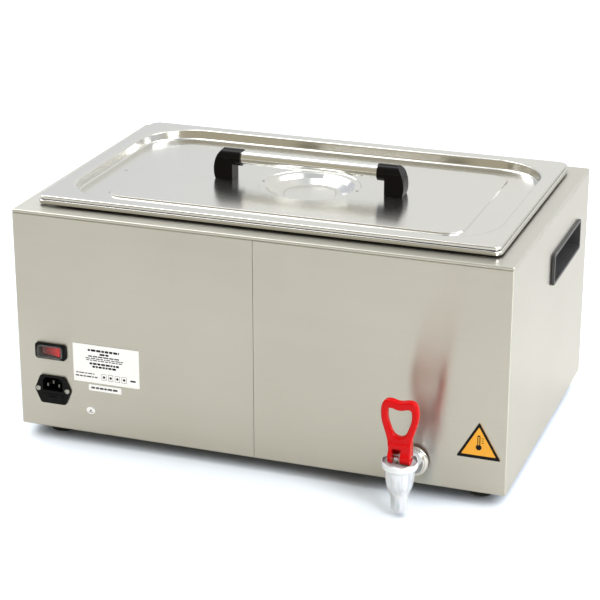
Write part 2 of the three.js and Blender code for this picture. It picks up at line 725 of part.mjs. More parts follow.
function mainsInlet() {
  const socket = [
    [-12.3, SOCKET_Z - 8],
    [12.3, SOCKET_Z - 8],
    [12.3, SOCKET_Z + 4],
    [8.3, SOCKET_Z + 8],
    [-8.3, SOCKET_Z + 8],
    [-12.3, SOCKET_Z + 4],
  ];
  const flange = [
    [-13.5, -16.9],
    [13.5, -16.9],
    [15.5, -15.9],
    [21.8, -1.5],
    [21.8, 1.5],
    [15.5, 15.9],
    [13.5, 16.9],
    [-13.5, 16.9],
    [-15.5, 15.9],
    [-21.8, 1.5],
    [-21.8, -1.5],
    [-15.5, -15.9],
  ];
  const pinPlaces = { live: [-7, SOCKET_Z - 2], earth: [0, SOCKET_Z + 2], neutral: [7, SOCKET_Z - 2] };
  const screwHole = alongY(disc(1.8, -5, 5, 12));
  let body = inward(polygon(flange), -2.4, -GAP)
    .add(inward(roundedRect(27.4, 31.4, 1), -1, INLET_DEPTH))
    .subtract(inward(polygon(socket), -5, 13))
    .subtract(inward(roundedRect(24.6, 9, 0.5, 0, DRAWER_Z), -5, 24))
    .subtract(screwHole.translate([-INLET_SCREW_X, 0, INLET_SCREW_Z]))
    .subtract(screwHole.translate([INLET_SCREW_X, 0, INLET_SCREW_Z]));
  const pins = [];
  for (const [name, [x, z]] of Object.entries(pinPlaces)) {
    body = body.subtract(box(x - 1.3, x + 1.3, 0, 50, z - 2.3, z + 2.3));
    const pin = box(x - 1, x + 1, 0, INLET_DEPTH + 8, z - 2, z + 2);
    pins.push(mesh(`inlet_pin_${name}`, pin, BRIGHT_STEEL));
  }
  const drawer = inward(roundedRect(24, 8.4, 0.4, 0, DRAWER_Z), -3, 20)
    .subtract(box(-10.6, 10.6, 9, 15, DRAWER_Z - 2.9, 50))
    .subtract(box(-5, 5, -5, -2, DRAWER_Z + 0.8, DRAWER_Z + 2.4));
  const fuse = alongX(disc(2.5, -10, 10, 16)).translate([0, 12, DRAWER_Z]);
  const screwProfile = [
    [0, -8],
    [1.5, -8],
    [1.5, 2.4 + GAP],
    [3, 2.4 + GAP],
    [2.4, 3.5],
    [0, 3.8],
  ];
  const screw = turned(screwProfile, 16).rotate([90, 0, 0]);
  return group(INLET_X, FRONT, INLET_Z, 0, [
    mesh("inlet_body", body, BLACK_PLASTIC),
    ...pins,
    mesh("fuse_drawer", drawer, BLACK_PLASTIC),
    mesh("fuse_cartridge", fuse, CERAMIC),
    mesh("inlet_screw_left", screw.translate([-INLET_SCREW_X, 0, INLET_SCREW_Z]), BRIGHT_STEEL),
    mesh("inlet_screw_right", screw.translate([INLET_SCREW_X, 0, INLET_SCREW_Z]), BRIGHT_STEEL),
  ]);
}

// ---- heating and its control ------------------------------------------------------------------------
// The control group is turned to face the far wall: -y is outwards again.
function thermostat() {
  const body = box(-20, 20, SHEET + GAP, 30, -17, 17).subtract(alongY(disc(3.3, 0, 12)));
  const shaft = alongY(disc(3, -14, 11, 16));
  const knob = turned(
    [
      [3.3, 1.2],
      [20, 1.2],
      [20, 4],
      [18.5, 5.5],
      [14.5, 6.5],
      [13.5, 18],
      [12, 19.5],
      [0, 19.5],
      [0, 14.5],
      [3.3, 14.5],
    ],
    32,
  )
    .rotate([90, 0, 0])
    .add(box(-1.5, 1.5, -20, -18, 3, 13));
  const lamp = turned([
    [0, -18],
    [4.8, -18],
    [4.8, GAP],
    [6.5, GAP],
    [6.5, 1.8],
    [5, 2],
    [4.2, 4],
    [0, 5],
  ]).rotate([90, 0, 0]);
  return group(KNOB_X, -FRONT, KNOB_Z, Math.PI, [
    mesh("thermostat_body", body, BRASS),
    mesh("thermostat_shaft", shaft, BRIGHT_STEEL),
    mesh("thermostat_knob", knob, BLACK_PLASTIC),
    mesh("indicator_lamp", lamp.translate([-LAMP_OFFSET, 0, 0]), { ...RED_PLASTIC, color: 0xe0641e }),
  ]);
}

function heating() {
  const runs = [-85, -30, 25, 80];
  const turn = (runs[1] - runs[0]) / 2;
  const [left, right] = [-150, 170];
  const tubeStart = -205;
  const route = [];
  runs.forEach((y, i) => {
    const goesRight = i % 2 === 0;
    const [from, to] = goesRight ? [left, right] : [right, left];
    const start = i === 0 ? tubeStart : from;
    const end = i === runs.length - 1 ? tubeStart : to;
    const straights = i === 0 || i === runs.length - 1 ? 6 : 5;
    for (let k = 0; k <= straights; k++) {
      route.push([start + ((end - start) * k) / straights, y, ELEMENT_Z]);
    }
    if (i === runs.length - 1) return;
    for (let k = 1; k < 6; k++) {
      const angle = -Math.PI / 2 + (Math.PI * k) / 6;
      const bulge = (goesRight ? 1 : -1) * turn * Math.cos(angle);
      route.push([to + bulge, y + turn + turn * Math.sin(angle), ELEMENT_Z]);
    }
  });
  const element = swept(route, ringSection(ELEMENT_RADIUS, 6), 84);

  const strap = box(-10, 10, -103, 98, 83, 85);
  const post = disc(3.5, 84, TANK_FLOOR - GAP, 12);
  const clamp = strap.add(post.translate([0, -97, 0])).add(post.translate([0, 92, 0]));

  const canTop = TANK_FLOOR - GAP;
  const cutout = disc(8, canTop - 9, canTop)
    .add(box(-14, 14, -6, 6, canTop - 1.2, canTop))
    .add(box(-6, -5.2, -3, 3, canTop - 17, canTop - 8))
    .add(box(5.2, 6, -3, 3, canTop - 17, canTop - 8));

  const bulbY = 52;
  const capillary = [
    [KNOB_X + 8, -FRONT - 30 - GAP, KNOB_Z],
    [KNOB_X + 8, -FRONT - 50, KNOB_Z],
    [KNOB_X + 5, 100, 66],
    [KNOB_X + 5, 62, 74],
    [KNOB_X + 14, bulbY, 88],
    [KNOB_X + 25, bulbY, 91],
    [KNOB_X + 40, bulbY, 91],
  ];
  const bulb = alongX(disc(3, -160, -90, 12))
    .translate([0, bulbY, 91])
    .add(swept(capillary, ringSection(1, 6), 24));

  const blockTop = 38;
  const terminalZ = 28;
  const terminals = [-184, -170, -156].reduce(
    (block, x) =>
      block
        .subtract(alongY(disc(2.6, -60, 0, 12)).translate([x, 0, terminalZ]))
        .subtract(disc(2, terminalZ, blockTop + 1, 12).translate([x, -30, 0])),
    box(-195, -145, -41, -19, 18, blockTop),
  );
  const supply = [
    [INLET_X, FRONT + INLET_DEPTH + 8 + GAP, INLET_Z + SOCKET_Z],
    [INLET_X, FRONT + 60, 58],
    [-215, -75, 34],
    [-172, -58, terminalZ + 1],
    [-170, -50, terminalZ],
    [-170, -42, terminalZ],
  ];
  const toElement = [
    [-184, -18, terminalZ],
    [-184, -10, terminalZ],
    [-190, 8, 34],
    [-214, 50, 60],
    [-222, 72, 84],
    [-216, 80, ELEMENT_Z],
    [tubeStart - 2, 80, ELEMENT_Z],
  ];
  return [
    mesh("heating_element", element, { ...STEEL, color: 0x5c5e58 }),
    mesh("element_clamp", clamp, STEEL),
    mesh("thermal_cutout", cutout.translate([60, bulbY, 0]), BRASS),
    mesh("thermostat_bulb", bulb, BRASS),
    mesh("terminal_block", terminals, CERAMIC),
    mesh("supply_wires", swept(supply, ringSection(3.2, 6), 20), WIRE),
    mesh("element_wires", swept(toElement, ringSection(2.4, 6), 20), WIRE),
  ];
}

// ---- labels: thin sheets on the tap side ------------------------------------------------------------
function warningTriangle(half, height, round) {
  const triangle = new THREE.Shape();
  const rise = round * Math.sin(Math.PI / 3);
  triangle.moveTo(-half + round, 0);
  triangle.lineTo(half - round, 0);
  triangle.quadraticCurveTo(half, 0, half - round / 2, rise);
  triangle.lineTo(round / 2, height - rise);
  triangle.quadraticCurveTo(0, height, -round / 2, height - rise);
  triangle.lineTo(-half + round / 2, rise);
  triangle.quadraticCurveTo(-half, 0, -half + round, 0);
  return triangle;
}

function labels() {
  const thickness = 0.4;
  const label = (name, shape, x, z, look) =>
    group(x, FRONT, z, 0, [mesh(name, inward(shape, -GAP - thickness, -GAP), look)]);
  return [
    label("rating_plate", roundedRect(80.7, 45.7, 0.8), -176.2, 100.9, LABEL_WHITE),
    label("serial_label", roundedRect(40, 7.5, 0.8), -178.5, 72, LABEL_WHITE),
    label("check_sticker", roundedRect(11, 11, 5.5), -197.2, 43.3, LABEL_WHITE),
    label("heat_mark", warningTriangle(23.9, 41.3, 1), 254.2, 55.8, LABEL_YELLOW),
  ];
}

const waxBath = group(0, FRONT_SHIFT, 0, 0, [
  ...casing(),
  ...feet(),
  ...well(),
  pan(),
  ...lid(),
  ...grips(),
  tap(),
  mainsSwitch(),
  mainsInlet(),
  thermostat(),
  ...heating(),
  ...labels(),
]);

export default waxBath;
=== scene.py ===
# Paraffin wax bath: the looks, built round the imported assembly.
# Each piece is drawn in millimetres about its own origin, and put in place in metres.
# +Z is up, the tap side faces -Y, and the tap is towards +X.
import json
import math
import random

import bmesh
import bpy
from mathutils import Matrix, Vector


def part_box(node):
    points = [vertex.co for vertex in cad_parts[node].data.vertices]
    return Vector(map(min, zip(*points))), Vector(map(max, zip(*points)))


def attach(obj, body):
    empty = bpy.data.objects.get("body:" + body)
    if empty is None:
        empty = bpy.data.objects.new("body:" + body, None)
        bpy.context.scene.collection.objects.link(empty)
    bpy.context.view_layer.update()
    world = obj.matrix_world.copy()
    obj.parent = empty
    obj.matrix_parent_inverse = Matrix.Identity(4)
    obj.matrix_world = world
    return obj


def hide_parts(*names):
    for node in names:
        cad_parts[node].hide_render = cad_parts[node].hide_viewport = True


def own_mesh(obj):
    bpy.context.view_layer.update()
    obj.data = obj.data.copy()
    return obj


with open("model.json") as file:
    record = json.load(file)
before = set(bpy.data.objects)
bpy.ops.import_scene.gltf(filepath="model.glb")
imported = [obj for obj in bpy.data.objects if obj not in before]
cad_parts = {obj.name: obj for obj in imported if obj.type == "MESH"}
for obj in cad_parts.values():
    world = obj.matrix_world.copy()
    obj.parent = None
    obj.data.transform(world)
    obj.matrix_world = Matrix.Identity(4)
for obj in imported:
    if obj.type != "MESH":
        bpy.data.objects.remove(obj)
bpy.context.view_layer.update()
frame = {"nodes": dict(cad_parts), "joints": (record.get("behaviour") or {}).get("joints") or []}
scene = bpy.context.scene
MM = 0.001

# Degrees round from the tap side and above the floor, then metres, millimetres of lens and metres.
CAMERA_AZIMUTH = 19.69
CAMERA_ELEVATION = 20.79
CAMERA_DISTANCE = 2.297
CAMERA_LENS = 118.0
CAMERA_TARGET = Vector((-0.012, 0.0255, 0.1346))


# ---- places taken from the frame -----------------------------------------------------------------
def middle(*nodes):
    """The centre of the box round some CAD nodes, in metres."""
    boxes = [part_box(node) for node in nodes]
    low = Vector([min(box[0][i] for box in boxes) for i in range(3)])
    high = Vector([max(box[1][i] for box in boxes) for i in range(3)])
    return (low + high) / 2


def size_of(node):
    """The length, depth and height of a CAD node's box, in millimetres."""
    low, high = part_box(node)
    return [(high[i] - low[i]) / MM for i in range(3)]


def levels(node):
    """The bottom and the top of a CAD node, in millimetres above the floor."""
    low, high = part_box(node)
    return low.z / MM, high.z / MM


CASE = middle("casing_left", "casing_right")
CASE.z = 0
CASE_SIZE = (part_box("top_deck")[1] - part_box("top_deck")[0]) / MM
CASE_LENGTH, CASE_DEPTH = CASE_SIZE.x, CASE_SIZE.y
WALL_BOTTOM, WALL_TOP = levels("casing_left")
DECK_EDGE, DECK_TOP = levels("top_deck")
FRONT_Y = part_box("top_deck")[0].y
REAR_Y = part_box("top_deck")[1].y
JOINT_AT = {joint["name"]: Vector(joint["pos_m"]) for joint in frame["joints"] if "pos_m" in joint}

# Ways a piece can face: its own x is to the right, its y up and its z towards the viewer.
FACING = {
    "up": Matrix.Identity(4),
    "front": Matrix(((1, 0, 0, 0), (0, 0, -1, 0), (0, 1, 0, 0), (0, 0, 0, 1))),
    "rear": Matrix(((-1, 0, 0, 0), (0, 0, 1, 0), (0, 1, 0, 0), (0, 0, 0, 1))),
    "right": Matrix(((0, 0, 1, 0), (1, 0, 0, 0), (0, 1, 0, 0), (0, 0, 0, 1))),
    "left": Matrix(((0, 0, -1, 0), (-1, 0, 0, 0), (0, 1, 0, 0), (0, 0, 0, 1))),
}


def put(origin, facing="up"):
    """From a piece's own millimetres to its place in metres."""
    return Matrix.Translation(origin) @ FACING[facing] @ Matrix.Scale(MM, 4)


def on_front(node):
    """Where a node sits on the tap side of the casing."""
    place = middle(node)
    return Vector((place.x, FRONT_Y, place.z))


# ---- outlines ------------------------------------------------------------------------------------
def arc(centre, radius, start, end, steps):
    """Points round a centre, between two angles in degrees."""
    points = []
    for k in range(steps + 1):
        angle = math.radians(start + (end - start) * k / steps)
        points.append((centre[0] + radius * math.cos(angle), centre[1] + radius * math.sin(angle)))
    return points


def bend(corners, steps=5, closed=False):
    """A line through (a, b) or (a, b, radius) corners, with each corner rounded to its radius."""
    points = []
    last = len(corners) - 1
    for i, corner in enumerate(corners):
        here = Vector(corner[:2])
        if len(corner) == 2 or (not closed and i in (0, last)):
            points.append(tuple(here))
            continue
        back = Vector(corners[i - 1][:2]) - here
        ahead = Vector(corners[(i + 1) % (last + 1)][:2]) - here
        half = back.angle(ahead) / 2
        reach = min(corner[2] / math.tan(half), 0.49 * back.length, 0.49 * ahead.length)
        back.normalize()
        ahead.normalize()
        centre = here + (back + ahead).normalized() * (reach / math.cos(half))
        start = here + back * reach - centre
        end = here + ahead * reach - centre
        first = math.degrees(math.atan2(start.y, start.x))
        sweep = (math.degrees(math.atan2(end.y, end.x)) - first + 180) % 360 - 180
        points += arc(centre, start.length, first, first + sweep, steps)
    return points


def bezier(points, steps=10):
    """A line along cubic curves that share their end points."""
    line = [points[0]]
    for k in range(0, len(points) - 1, 3):
        p0, p1, p2, p3 = [Vector(p) for p in points[k : k + 4]]
        for i in range(1, steps + 1):
            t = i / steps
            s = 1 - t
            line.append(tuple(p0 * s**3 + p1 * 3 * s * s * t + p2 * 3 * s * t * t + p3 * t**3))
    return line


def mirrored(half):
    """A closed outline from its half at x > 0, which runs from the middle to the middle."""
    return half + [(-x, y) for x, y in reversed(half) if x > 1e-6]


def oblong(length, depth, corner, steps=7):
    """Points round a rectangle with round corners: the same number whatever its size."""
    points = []
    for turn, (side, end) in enumerate(((1, 1), (-1, 1), (-1, -1), (1, -1))):
        centre = (side * (length / 2 - corner), end * (depth / 2 - corner))
        points += arc(centre, corner, 90 * turn, 90 * turn + 90, steps)
    return points


def circle(radius, steps=48):
    """A closed outline, which doesn't repeat its first point."""
    return arc((0, 0), radius, 0, 360 * (steps - 1) / steps, steps - 1)


# ---- meshes --------------------------------------------------------------------------------------
def loft(rings, cap=False):
    """Faces between rings of points; the last ring may be closed with one face."""
    bm = bmesh.new()
    rows = [[bm.verts.new(point) for point in ring] for ring in rings]
    for low, high in zip(rows, rows[1:]):
        for i in range(len(low)):
            bm.faces.new((low[i - 1], low[i], high[i], high[i - 1]))
    if cap:
        bm.faces.new(rows[-1])
    bmesh.ops.remove_doubles(bm, verts=bm.verts, dist=1e-4)
    return bm


def pressed(profile, keys, cap=True):
    """A sheet pressed from an oblong blank: profile holds (inset, height) points from its edge inwards,
    and keys say the (inset, half length, half depth, corner) of its outlines."""
    rings = []
    for inset, height in profile:
        pairs = list(zip(keys, keys[1:]))
        low, high = next((pair for pair in pairs if inset <= pair[1][0]), pairs[-1])
        share = (inset - low[0]) / (high[0] - low[0])
        half_length, half_depth, corner = [a + (b - a) * share for a, b in zip(low[1:], high[1:])]
        rings.append([(x, y, height) for x, y in oblong(2 * half_length, 2 * half_depth, corner)])
    return loft(rings, cap)


def lathe(profile, segments=64):
    """A solid turned about z from (radius, height) points up its outside; their ends meet, on the axis or off it."""
    closed = profile if profile[0][0] == 0 else [*profile, profile[0]]
    angles = [2 * math.pi * k / segments for k in range(segments)]
    return loft([[(r * math.cos(a), r * math.sin(a), z) for a in angles] for r, z in closed])


def mesh_of(curve):
    """The mesh of a curve, which is thrown away."""
    holder = bpy.data.objects.new("curve", curve)
    mesh = bpy.data.meshes.new_from_object(holder)
    bm = bmesh.new()
    bm.from_mesh(mesh)
    bpy.data.objects.remove(holder)
    bpy.data.curves.remove(curve)
    bpy.data.meshes.remove(mesh)
    return bm


def plate(loops, depth, edge=0.0, resolution=3):
    """An outline with its holes, raised from z = 0 to depth, with rounded edges."""
    curve = bpy.data.curves.new("outline", "CURVE")
    curve.dimensions = "2D"
    curve.fill_mode = "BOTH"
    curve.extrude = depth / 2 - edge
    curve.bevel_depth = edge
    curve.bevel_resolution = resolution
    curve.offset = -edge
    for loop in loops:
        spline = curve.splines.new("POLY")
        spline.points.add(len(loop) - 1)
        spline.use_cyclic_u = True
        for point, (a, b) in zip(spline.points, loop):
            point.co = (a, b, 0, 1)
    bm = mesh_of(curve)
    bmesh.ops.remove_doubles(bm, verts=bm.verts, dist=1e-3)
    bmesh.ops.translate(bm, verts=bm.verts, vec=(0, 0, depth / 2))
    bmesh.ops.recalc_face_normals(bm, faces=bm.faces)
    return bm


def moved(bm, matrix):
    bm.transform(matrix)
    return bm


def shifted(bm, x, y, z, facing="up"):
    """The mesh turned to face a way, then moved."""
    return moved(bm, Matrix.Translation((x, y, z)) @ FACING[facing])


def block(x0, x1, y0, y1, z0, z1):
    """A plain box, for cutting with."""
    corners = [(x0, y0), (x1, y0), (x1, y1), (x0, y1)]
    return shifted(plate([corners], z1 - z0), 0, 0, z0)


def merged(*parts):
    """Meshes that don't touch, as one."""
    whole = bmesh.new()
    for part in parts:
        mesh = bpy.data.meshes.new("part")
        part.to_mesh(mesh)
        part.free()
        whole.from_mesh(mesh)
        bpy.data.meshes.remove(mesh)
    return whole


def object_of(name, bm):
    """A new object in the scene that holds the mesh."""
    mesh = bpy.data.meshes.new(name)
    bm.to_mesh(mesh)
    bm.free()
    made = bpy.data.objects.new(name, mesh)
    scene.collection.objects.link(made)
    return made


def discard(holder):
    """Removes an object with its mesh."""
    mesh = holder.data
    bpy.data.objects.remove(holder)
    bpy.data.meshes.remove(mesh)


def worked(bm, modifiers):
    """The mesh after (type, settings) modifiers."""
    holder = object_of("holder", bm)
    for kind, settings in modifiers:
        modifier = holder.modifiers.new(kind, kind)
        for key, value in settings.items():
            setattr(modifier, key, value)
    bpy.context.view_layer.update()
    evaluated = holder.evaluated_get(bpy.context.evaluated_depsgraph_get())
    made = bmesh.new()
    made.from_mesh(evaluated.data)
    discard(holder)
    return made


def joined(bm, *others, operation="UNION"):
    """The mesh joined with others, or cut by them."""
    holders = [object_of("tool", other) for other in others]
    settings = [{"object": holder, "operation": operation, "solver": "EXACT"} for holder in holders]
    made = worked(bm, [("BOOLEAN", setting) for setting in settings])
    for holder in holders:
        discard(holder)
    bmesh.ops.remove_doubles(made, verts=made.verts, dist=1e-3)
    return made


def cut(bm, *tools):
    """The mesh with the tools taken out of it."""
    return joined(bm, *tools, operation="DIFFERENCE")


def sheet(bm, thickness):
    """A surface given a thickness behind it."""
    return worked(bm, [("SOLIDIFY", {"thickness": thickness, "offset": -1, "use_even_offset": True})])


def eased(bm, width, angle=40, segments=3):
    """The mesh with its sharp edges rounded."""
    settings = {
        "width": width,
        "segments": segments,
        "limit_method": "ANGLE",
        "angle_limit": math.radians(angle),
        "miter_outer": "MITER_ARC",
    }
    return worked(bm, [("BEVEL", settings)])


def piece(name, bm, place, look, body="casing", stands_for=(), sharp=32):
    """A finished piece: put in place, shaded, painted, and riding on its body."""
    bm.transform(place)
    made = object_of(name, bm)
    made.data.shade_smooth()
    made.data.set_sharp_from_angle(angle=math.radians(sharp))
    made.data.materials.append(look)
    normals = made.modifiers.new("normals", "WEIGHTED_NORMAL")
    normals.keep_sharp = True
    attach(made, body)
    if stands_for:
        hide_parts(*stands_for)
    return made


def dress(look, *nodes, edge=0.0):
    """Keeps CAD nodes, with a better finish and softer edges."""
    for node in nodes:
        kept = frame["nodes"][node]
        if not kept.material_slots:
            kept.data.materials.append(look)
        for slot in kept.material_slots:
            slot.material = look
        weld = kept.modifiers.new("weld", "WELD")
        weld.merge_threshold = 0.01 * MM
        if edge:
            soft = kept.modifiers.new("edges", "BEVEL")
            soft.width = edge * MM
            soft.segments = 2
            soft.limit_method = "ANGLE"
            soft.angle_limit = math.radians(35)


# ---- finishes ------------------------------------------------------------------------------------
def add_node(tree, kind, inputs=None, **settings):
    """A shader node with its settings, and its sockets linked or set."""
    node = tree.nodes.new("ShaderNode" + kind)
    for key, value in settings.items():
        setattr(node, key, value)
    for socket, value in (inputs or {}).items():
        if isinstance(value, bpy.types.NodeSocket):
            tree.links.new(value, node.inputs[socket])
        else:
            node.inputs[socket].default_value = value
    return node


class Look:
    """A material with one Principled shader, and short ways to vary it over a surface."""

    def __init__(self, name, **sockets):
        self.material = bpy.data.materials.new(name)
        self.material.use_nodes = True
        self.tree = self.material.node_tree
        self.links = self.tree.links
        self.shader = self.tree.nodes["Principled BSDF"]
        for socket, value in sockets.items():
            self.shader.inputs[socket.replace("_", " ")].default_value = value

    def add(self, kind, inputs=None, **settings):
        return add_node(self.tree, kind, inputs, **settings)

    def position(self):
        """Where a point of the surface is, in metres."""
        return self.add("TexCoord").outputs["Object"]

    def noise(self, stretch, detail=2.0):
        """Noise with stretch features to the metre along x, y and z."""
        place = self.add("Mapping", {"Vector": self.position(), "Scale": stretch}).outputs[0]
        return self.add("TexNoise", {"Vector": place, "Scale": 1.0, "Detail": detail}).outputs[0]

    def spread(self, value, low, high):
        """Noise, most of which lies from 0.3 to 0.7, as a number from low to high."""
        return self.add("MapRange", {0: value, 1: 0.3, 2: 0.7, 3: low, 4: high}).outputs[0]

    def outward(self, centre):
        """How far a face looks away from the upright line through centre, times its distance from it."""
        away = self.add("VectorMath", {0: self.position(), 1: centre}, operation="SUBTRACT")
        flat = self.add("VectorMath", {0: away.outputs[0], 1: (1, 1, 0)}, operation="MULTIPLY")
        normal = self.add("NewGeometry").outputs["Normal"]
        dot = self.add("VectorMath", {0: flat.outputs[0], 1: normal}, operation="DOT_PRODUCT")
        return dot.outputs["Value"]

    def colour(self, value, dark, light, start=0.3, end=0.7):
        ramp = self.add("ValToRGB", {0: value})
        first, second = ramp.color_ramp.elements
        first.position, second.position = start, end
        first.color, second.color = (*dark, 1), (*light, 1)
        self.links.new(ramp.outputs[0], self.shader.inputs["Base Color"])

    def rough(self, value):
        self.links.new(value, self.shader.inputs["Roughness"])

    def bump(self, height, depth):
        node = self.add("Bump", {"Height": height, "Distance": depth, "Strength": 1.0})
        self.links.new(node.outputs[0], self.shader.inputs["Normal"])


def scaled(colour, factor):
    """A colour made lighter or darker."""
    return [min(1.0, c * factor) for c in colour]


def steel(name, colour, roughness, grain=(180, 180, 180), axis="X", turn=0.0, stretch=0.0, hair=8e-6, painted_shade_to=None):
    """Steel sheet: brushing runs where the grain is coarse, and reflections smear across it.
    Painted shade: faces that look outwards are darkened nearly to black up to a little above the height given as the
    last argument, in metres, standing in for the shadow under the pan's rim."""
    look = Look(name, Metallic=1.0, Anisotropic=stretch, Anisotropic_Rotation=turn)
    hairline = look.noise(grain, detail=3)
    streak = look.noise([g * 0.35 for g in grain], detail=2)
    handled = look.noise((7, 7, 7), detail=3)
    look.colour(streak, scaled(colour, 0.988), scaled(colour, 1.01))
    fine = look.spread(hairline, roughness * 0.92, roughness * 1.08)
    broad = look.spread(handled, -0.015, 0.015)
    look.rough(look.add("Math", {0: fine, 1: broad}, operation="ADD").outputs[0])
    look.bump(hairline, hair)
    # Painted shade: outward faces low on the piece are scaled nearly to black.
    if painted_shade_to:
        dark, unshaded_from, unshaded_to = 0.02, painted_shade_to + 0.0045, painted_shade_to + 0.0055
        height = look.add("SeparateXYZ", {0: look.position()}).outputs["Z"]
        above = look.add("MapRange", {0: height, 1: unshaded_from, 2: unshaded_to, 3: dark, 4: 1}).outputs[0]
        inner = look.add("MapRange", {0: look.outward(CASE), 1: 0.02, 2: 0, 3: dark, 4: 1}).outputs[0]
        unshaded = look.add("Math", {0: above, 1: inner}, operation="MAXIMUM").outputs[0]
        base = look.shader.inputs["Base Color"].links[0].from_socket
        shaded = look.add("VectorMath", {0: base, "Scale": unshaded}, operation="SCALE").outputs[0]
        look.links.new(shaded, look.shader.inputs["Base Color"])
    if stretch:
        tangent = look.add("Tangent", direction_type="RADIAL", axis=axis)
        look.links.new(tangent.outputs[0], look.shader.inputs["Tangent"])
    return look.material


def plastic(name, colour, roughness, lift=1.25, grit=900, depth=0.00002, **sockets):
    """Moulded plastic: slightly uneven in colour, with a fine moulded texture."""
    look = Look(name, **sockets)
    clouds = look.noise((30, 30, 30), detail=3)
    grain = look.noise((grit, grit, grit), detail=2)
    look.colour(clouds, colour, scaled(colour, lift))
    look.rough(look.spread(clouds, roughness * 0.85, roughness * 1.2))
    look.bump(grain, depth)
    return look.material


def milky():
    """Frosted clear plastic, greyer in upright streaks that fall at random: painted shade standing in for the grey
    bands along its sides.
    """
    look = Look("tap_clear", Subsurface_Weight=0.25, Subsurface_Scale=0.003, Coat_Weight=0.3)
    clouds = look.noise((160, 160, 25), detail=3)
    # Painted shade: random upright streaks of grey.
    look.colour(clouds, (0.52, 0.57, 0.63), (0.8, 0.85, 0.93), start=0.3, end=0.6)
    look.rough(look.spread(clouds, 0.14, 0.24))
    look.bump(look.noise((140, 140, 140)), 0.00006)
    return look.material


def crown_white():
    """White plastic, greyer on the inner faces of the collar, which lie in shade."""
    look = Look("tap_white", Subsurface_Weight=0.2, Subsurface_Scale=0.002)
    clouds = look.noise((90, 90, 90), detail=3)
    outward = look.outward(middle("tap_collar"))
    # Painted shade: faces turned in towards the collar's axis go dark grey.
    side = look.add("MapRange", {0: outward, 1: -0.012, 2: 0.004, 3: 0, 4: 0.9}).outputs[0]
    mottle_and_painted_light = look.add("Math", {0: clouds, 1: 0.1, 2: side}, operation="MULTIPLY_ADD").outputs[0]
    look.colour(mottle_and_painted_light, (0.26, 0.26, 0.25), (0.82, 0.87, 0.93), start=0.45, end=0.95)
    look.rough(look.spread(clouds, 0.18, 0.28))
    look.bump(look.noise((900, 900, 900)), 0.00001)
    return look.material


def lit_red():
    """The clear red key of the switch, glowing faintly all over from its lamp, with painted light and shade: dark at
    one end and bright red at the other, as light falls on the tilted key.
    """
    low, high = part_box("switch_rocker")
    look = Look("rocker_red", Specular_IOR_Level=0.25, Emission_Color=(1, 0.01, 0.02, 1), Emission_Strength=0.05)
    along = look.add("SeparateXYZ", {0: look.position()}).outputs["X"]
    # Painted light: the key's colour runs from near black at one end to bright red at the other.
    painted_light_share = look.add("MapRange", {0: along, 1: low.x, 2: high.x, 3: -0.1, 4: 1}).outputs[0]
    mottle_and_painted_light = look.add("Math", {0: look.noise((300, 300, 300)), 1: 0.35, 2: painted_light_share}, operation="MULTIPLY_ADD")
    look.colour(mottle_and_painted_light.outputs[0], (0.02, 0.001, 0.001), (0.75, 0.005, 0.012), start=0.25, end=1)
    look.rough(look.spread(look.noise((90, 90, 90)), 0.12, 0.22))
    return look.material


def clear_boot():
    """Thin clear rubber, harder to see through where it turns away."""
    look = Look("boot_clear", Base_Color=(0.3, 0.31, 0.31, 1), IOR=1.42)
    look.rough(look.spread(look.noise((400, 400, 400)), 0.04, 0.12))
    edge = look.add("LayerWeight", {"Blend": 0.35}).outputs["Facing"]
    see = look.add("MapRange", {0: edge, 1: 0.1, 2: 1.0, 3: 0.06, 4: 0.7}).outputs[0]
    look.links.new(see, look.shader.inputs["Alpha"])
    look.bump(look.noise((250, 250, 250)), 0.0001)
    return look.material


WALL_GRAIN = (3, 3, 2400)
TOP_GRAIN = (3, 2400, 2400)
CASE_COLOUR = (0.65, 0.64, 0.58)
CLEAN_STEEL = (0.69, 0.685, 0.65)
CASE_STEEL = steel("case_steel", CASE_COLOUR, 0.31, WALL_GRAIN, axis="Z", turn=0.25, stretch=1.0)
DECK_STEEL = steel("deck_steel", scaled(CASE_COLOUR, 0.95), 0.34, TOP_GRAIN, axis="X", stretch=0.6)
PRESSED_STEEL = steel("pressed_steel", CLEAN_STEEL, 0.19, (6, 900, 900), axis="X", stretch=0.3, hair=3e-6)
# The tank gets painted shade on its outer faces up to just above the deck, under the pan's rim.
TANK_STEEL = steel("tank_steel", CLEAN_STEEL, 0.28, painted_shade_to=DECK_TOP * MM)
POLISHED_STEEL = steel("polished_steel", (0.78, 0.78, 0.75), 0.12, (12, 900, 900), hair=3e-6)
SCREW_STEEL = steel("screw_steel", (0.5, 0.5, 0.48), 0.28)
ELEMENT_STEEL = steel("element_steel", (0.22, 0.22, 0.2), 0.45)
PIN_METAL = steel("pin_metal", (0.16, 0.155, 0.14), 0.35)
COPPER = steel("copper", (0.72, 0.42, 0.26), 0.35)
BLACK = plastic("black_plastic", (0.003, 0.003, 0.0035), 0.32, Specular_IOR_Level=0.12)
BLACK_GLOSS = plastic("black_gloss", (0.0025, 0.002, 0.0022), 0.1, depth=0.000004, Specular_IOR_Level=0.16)
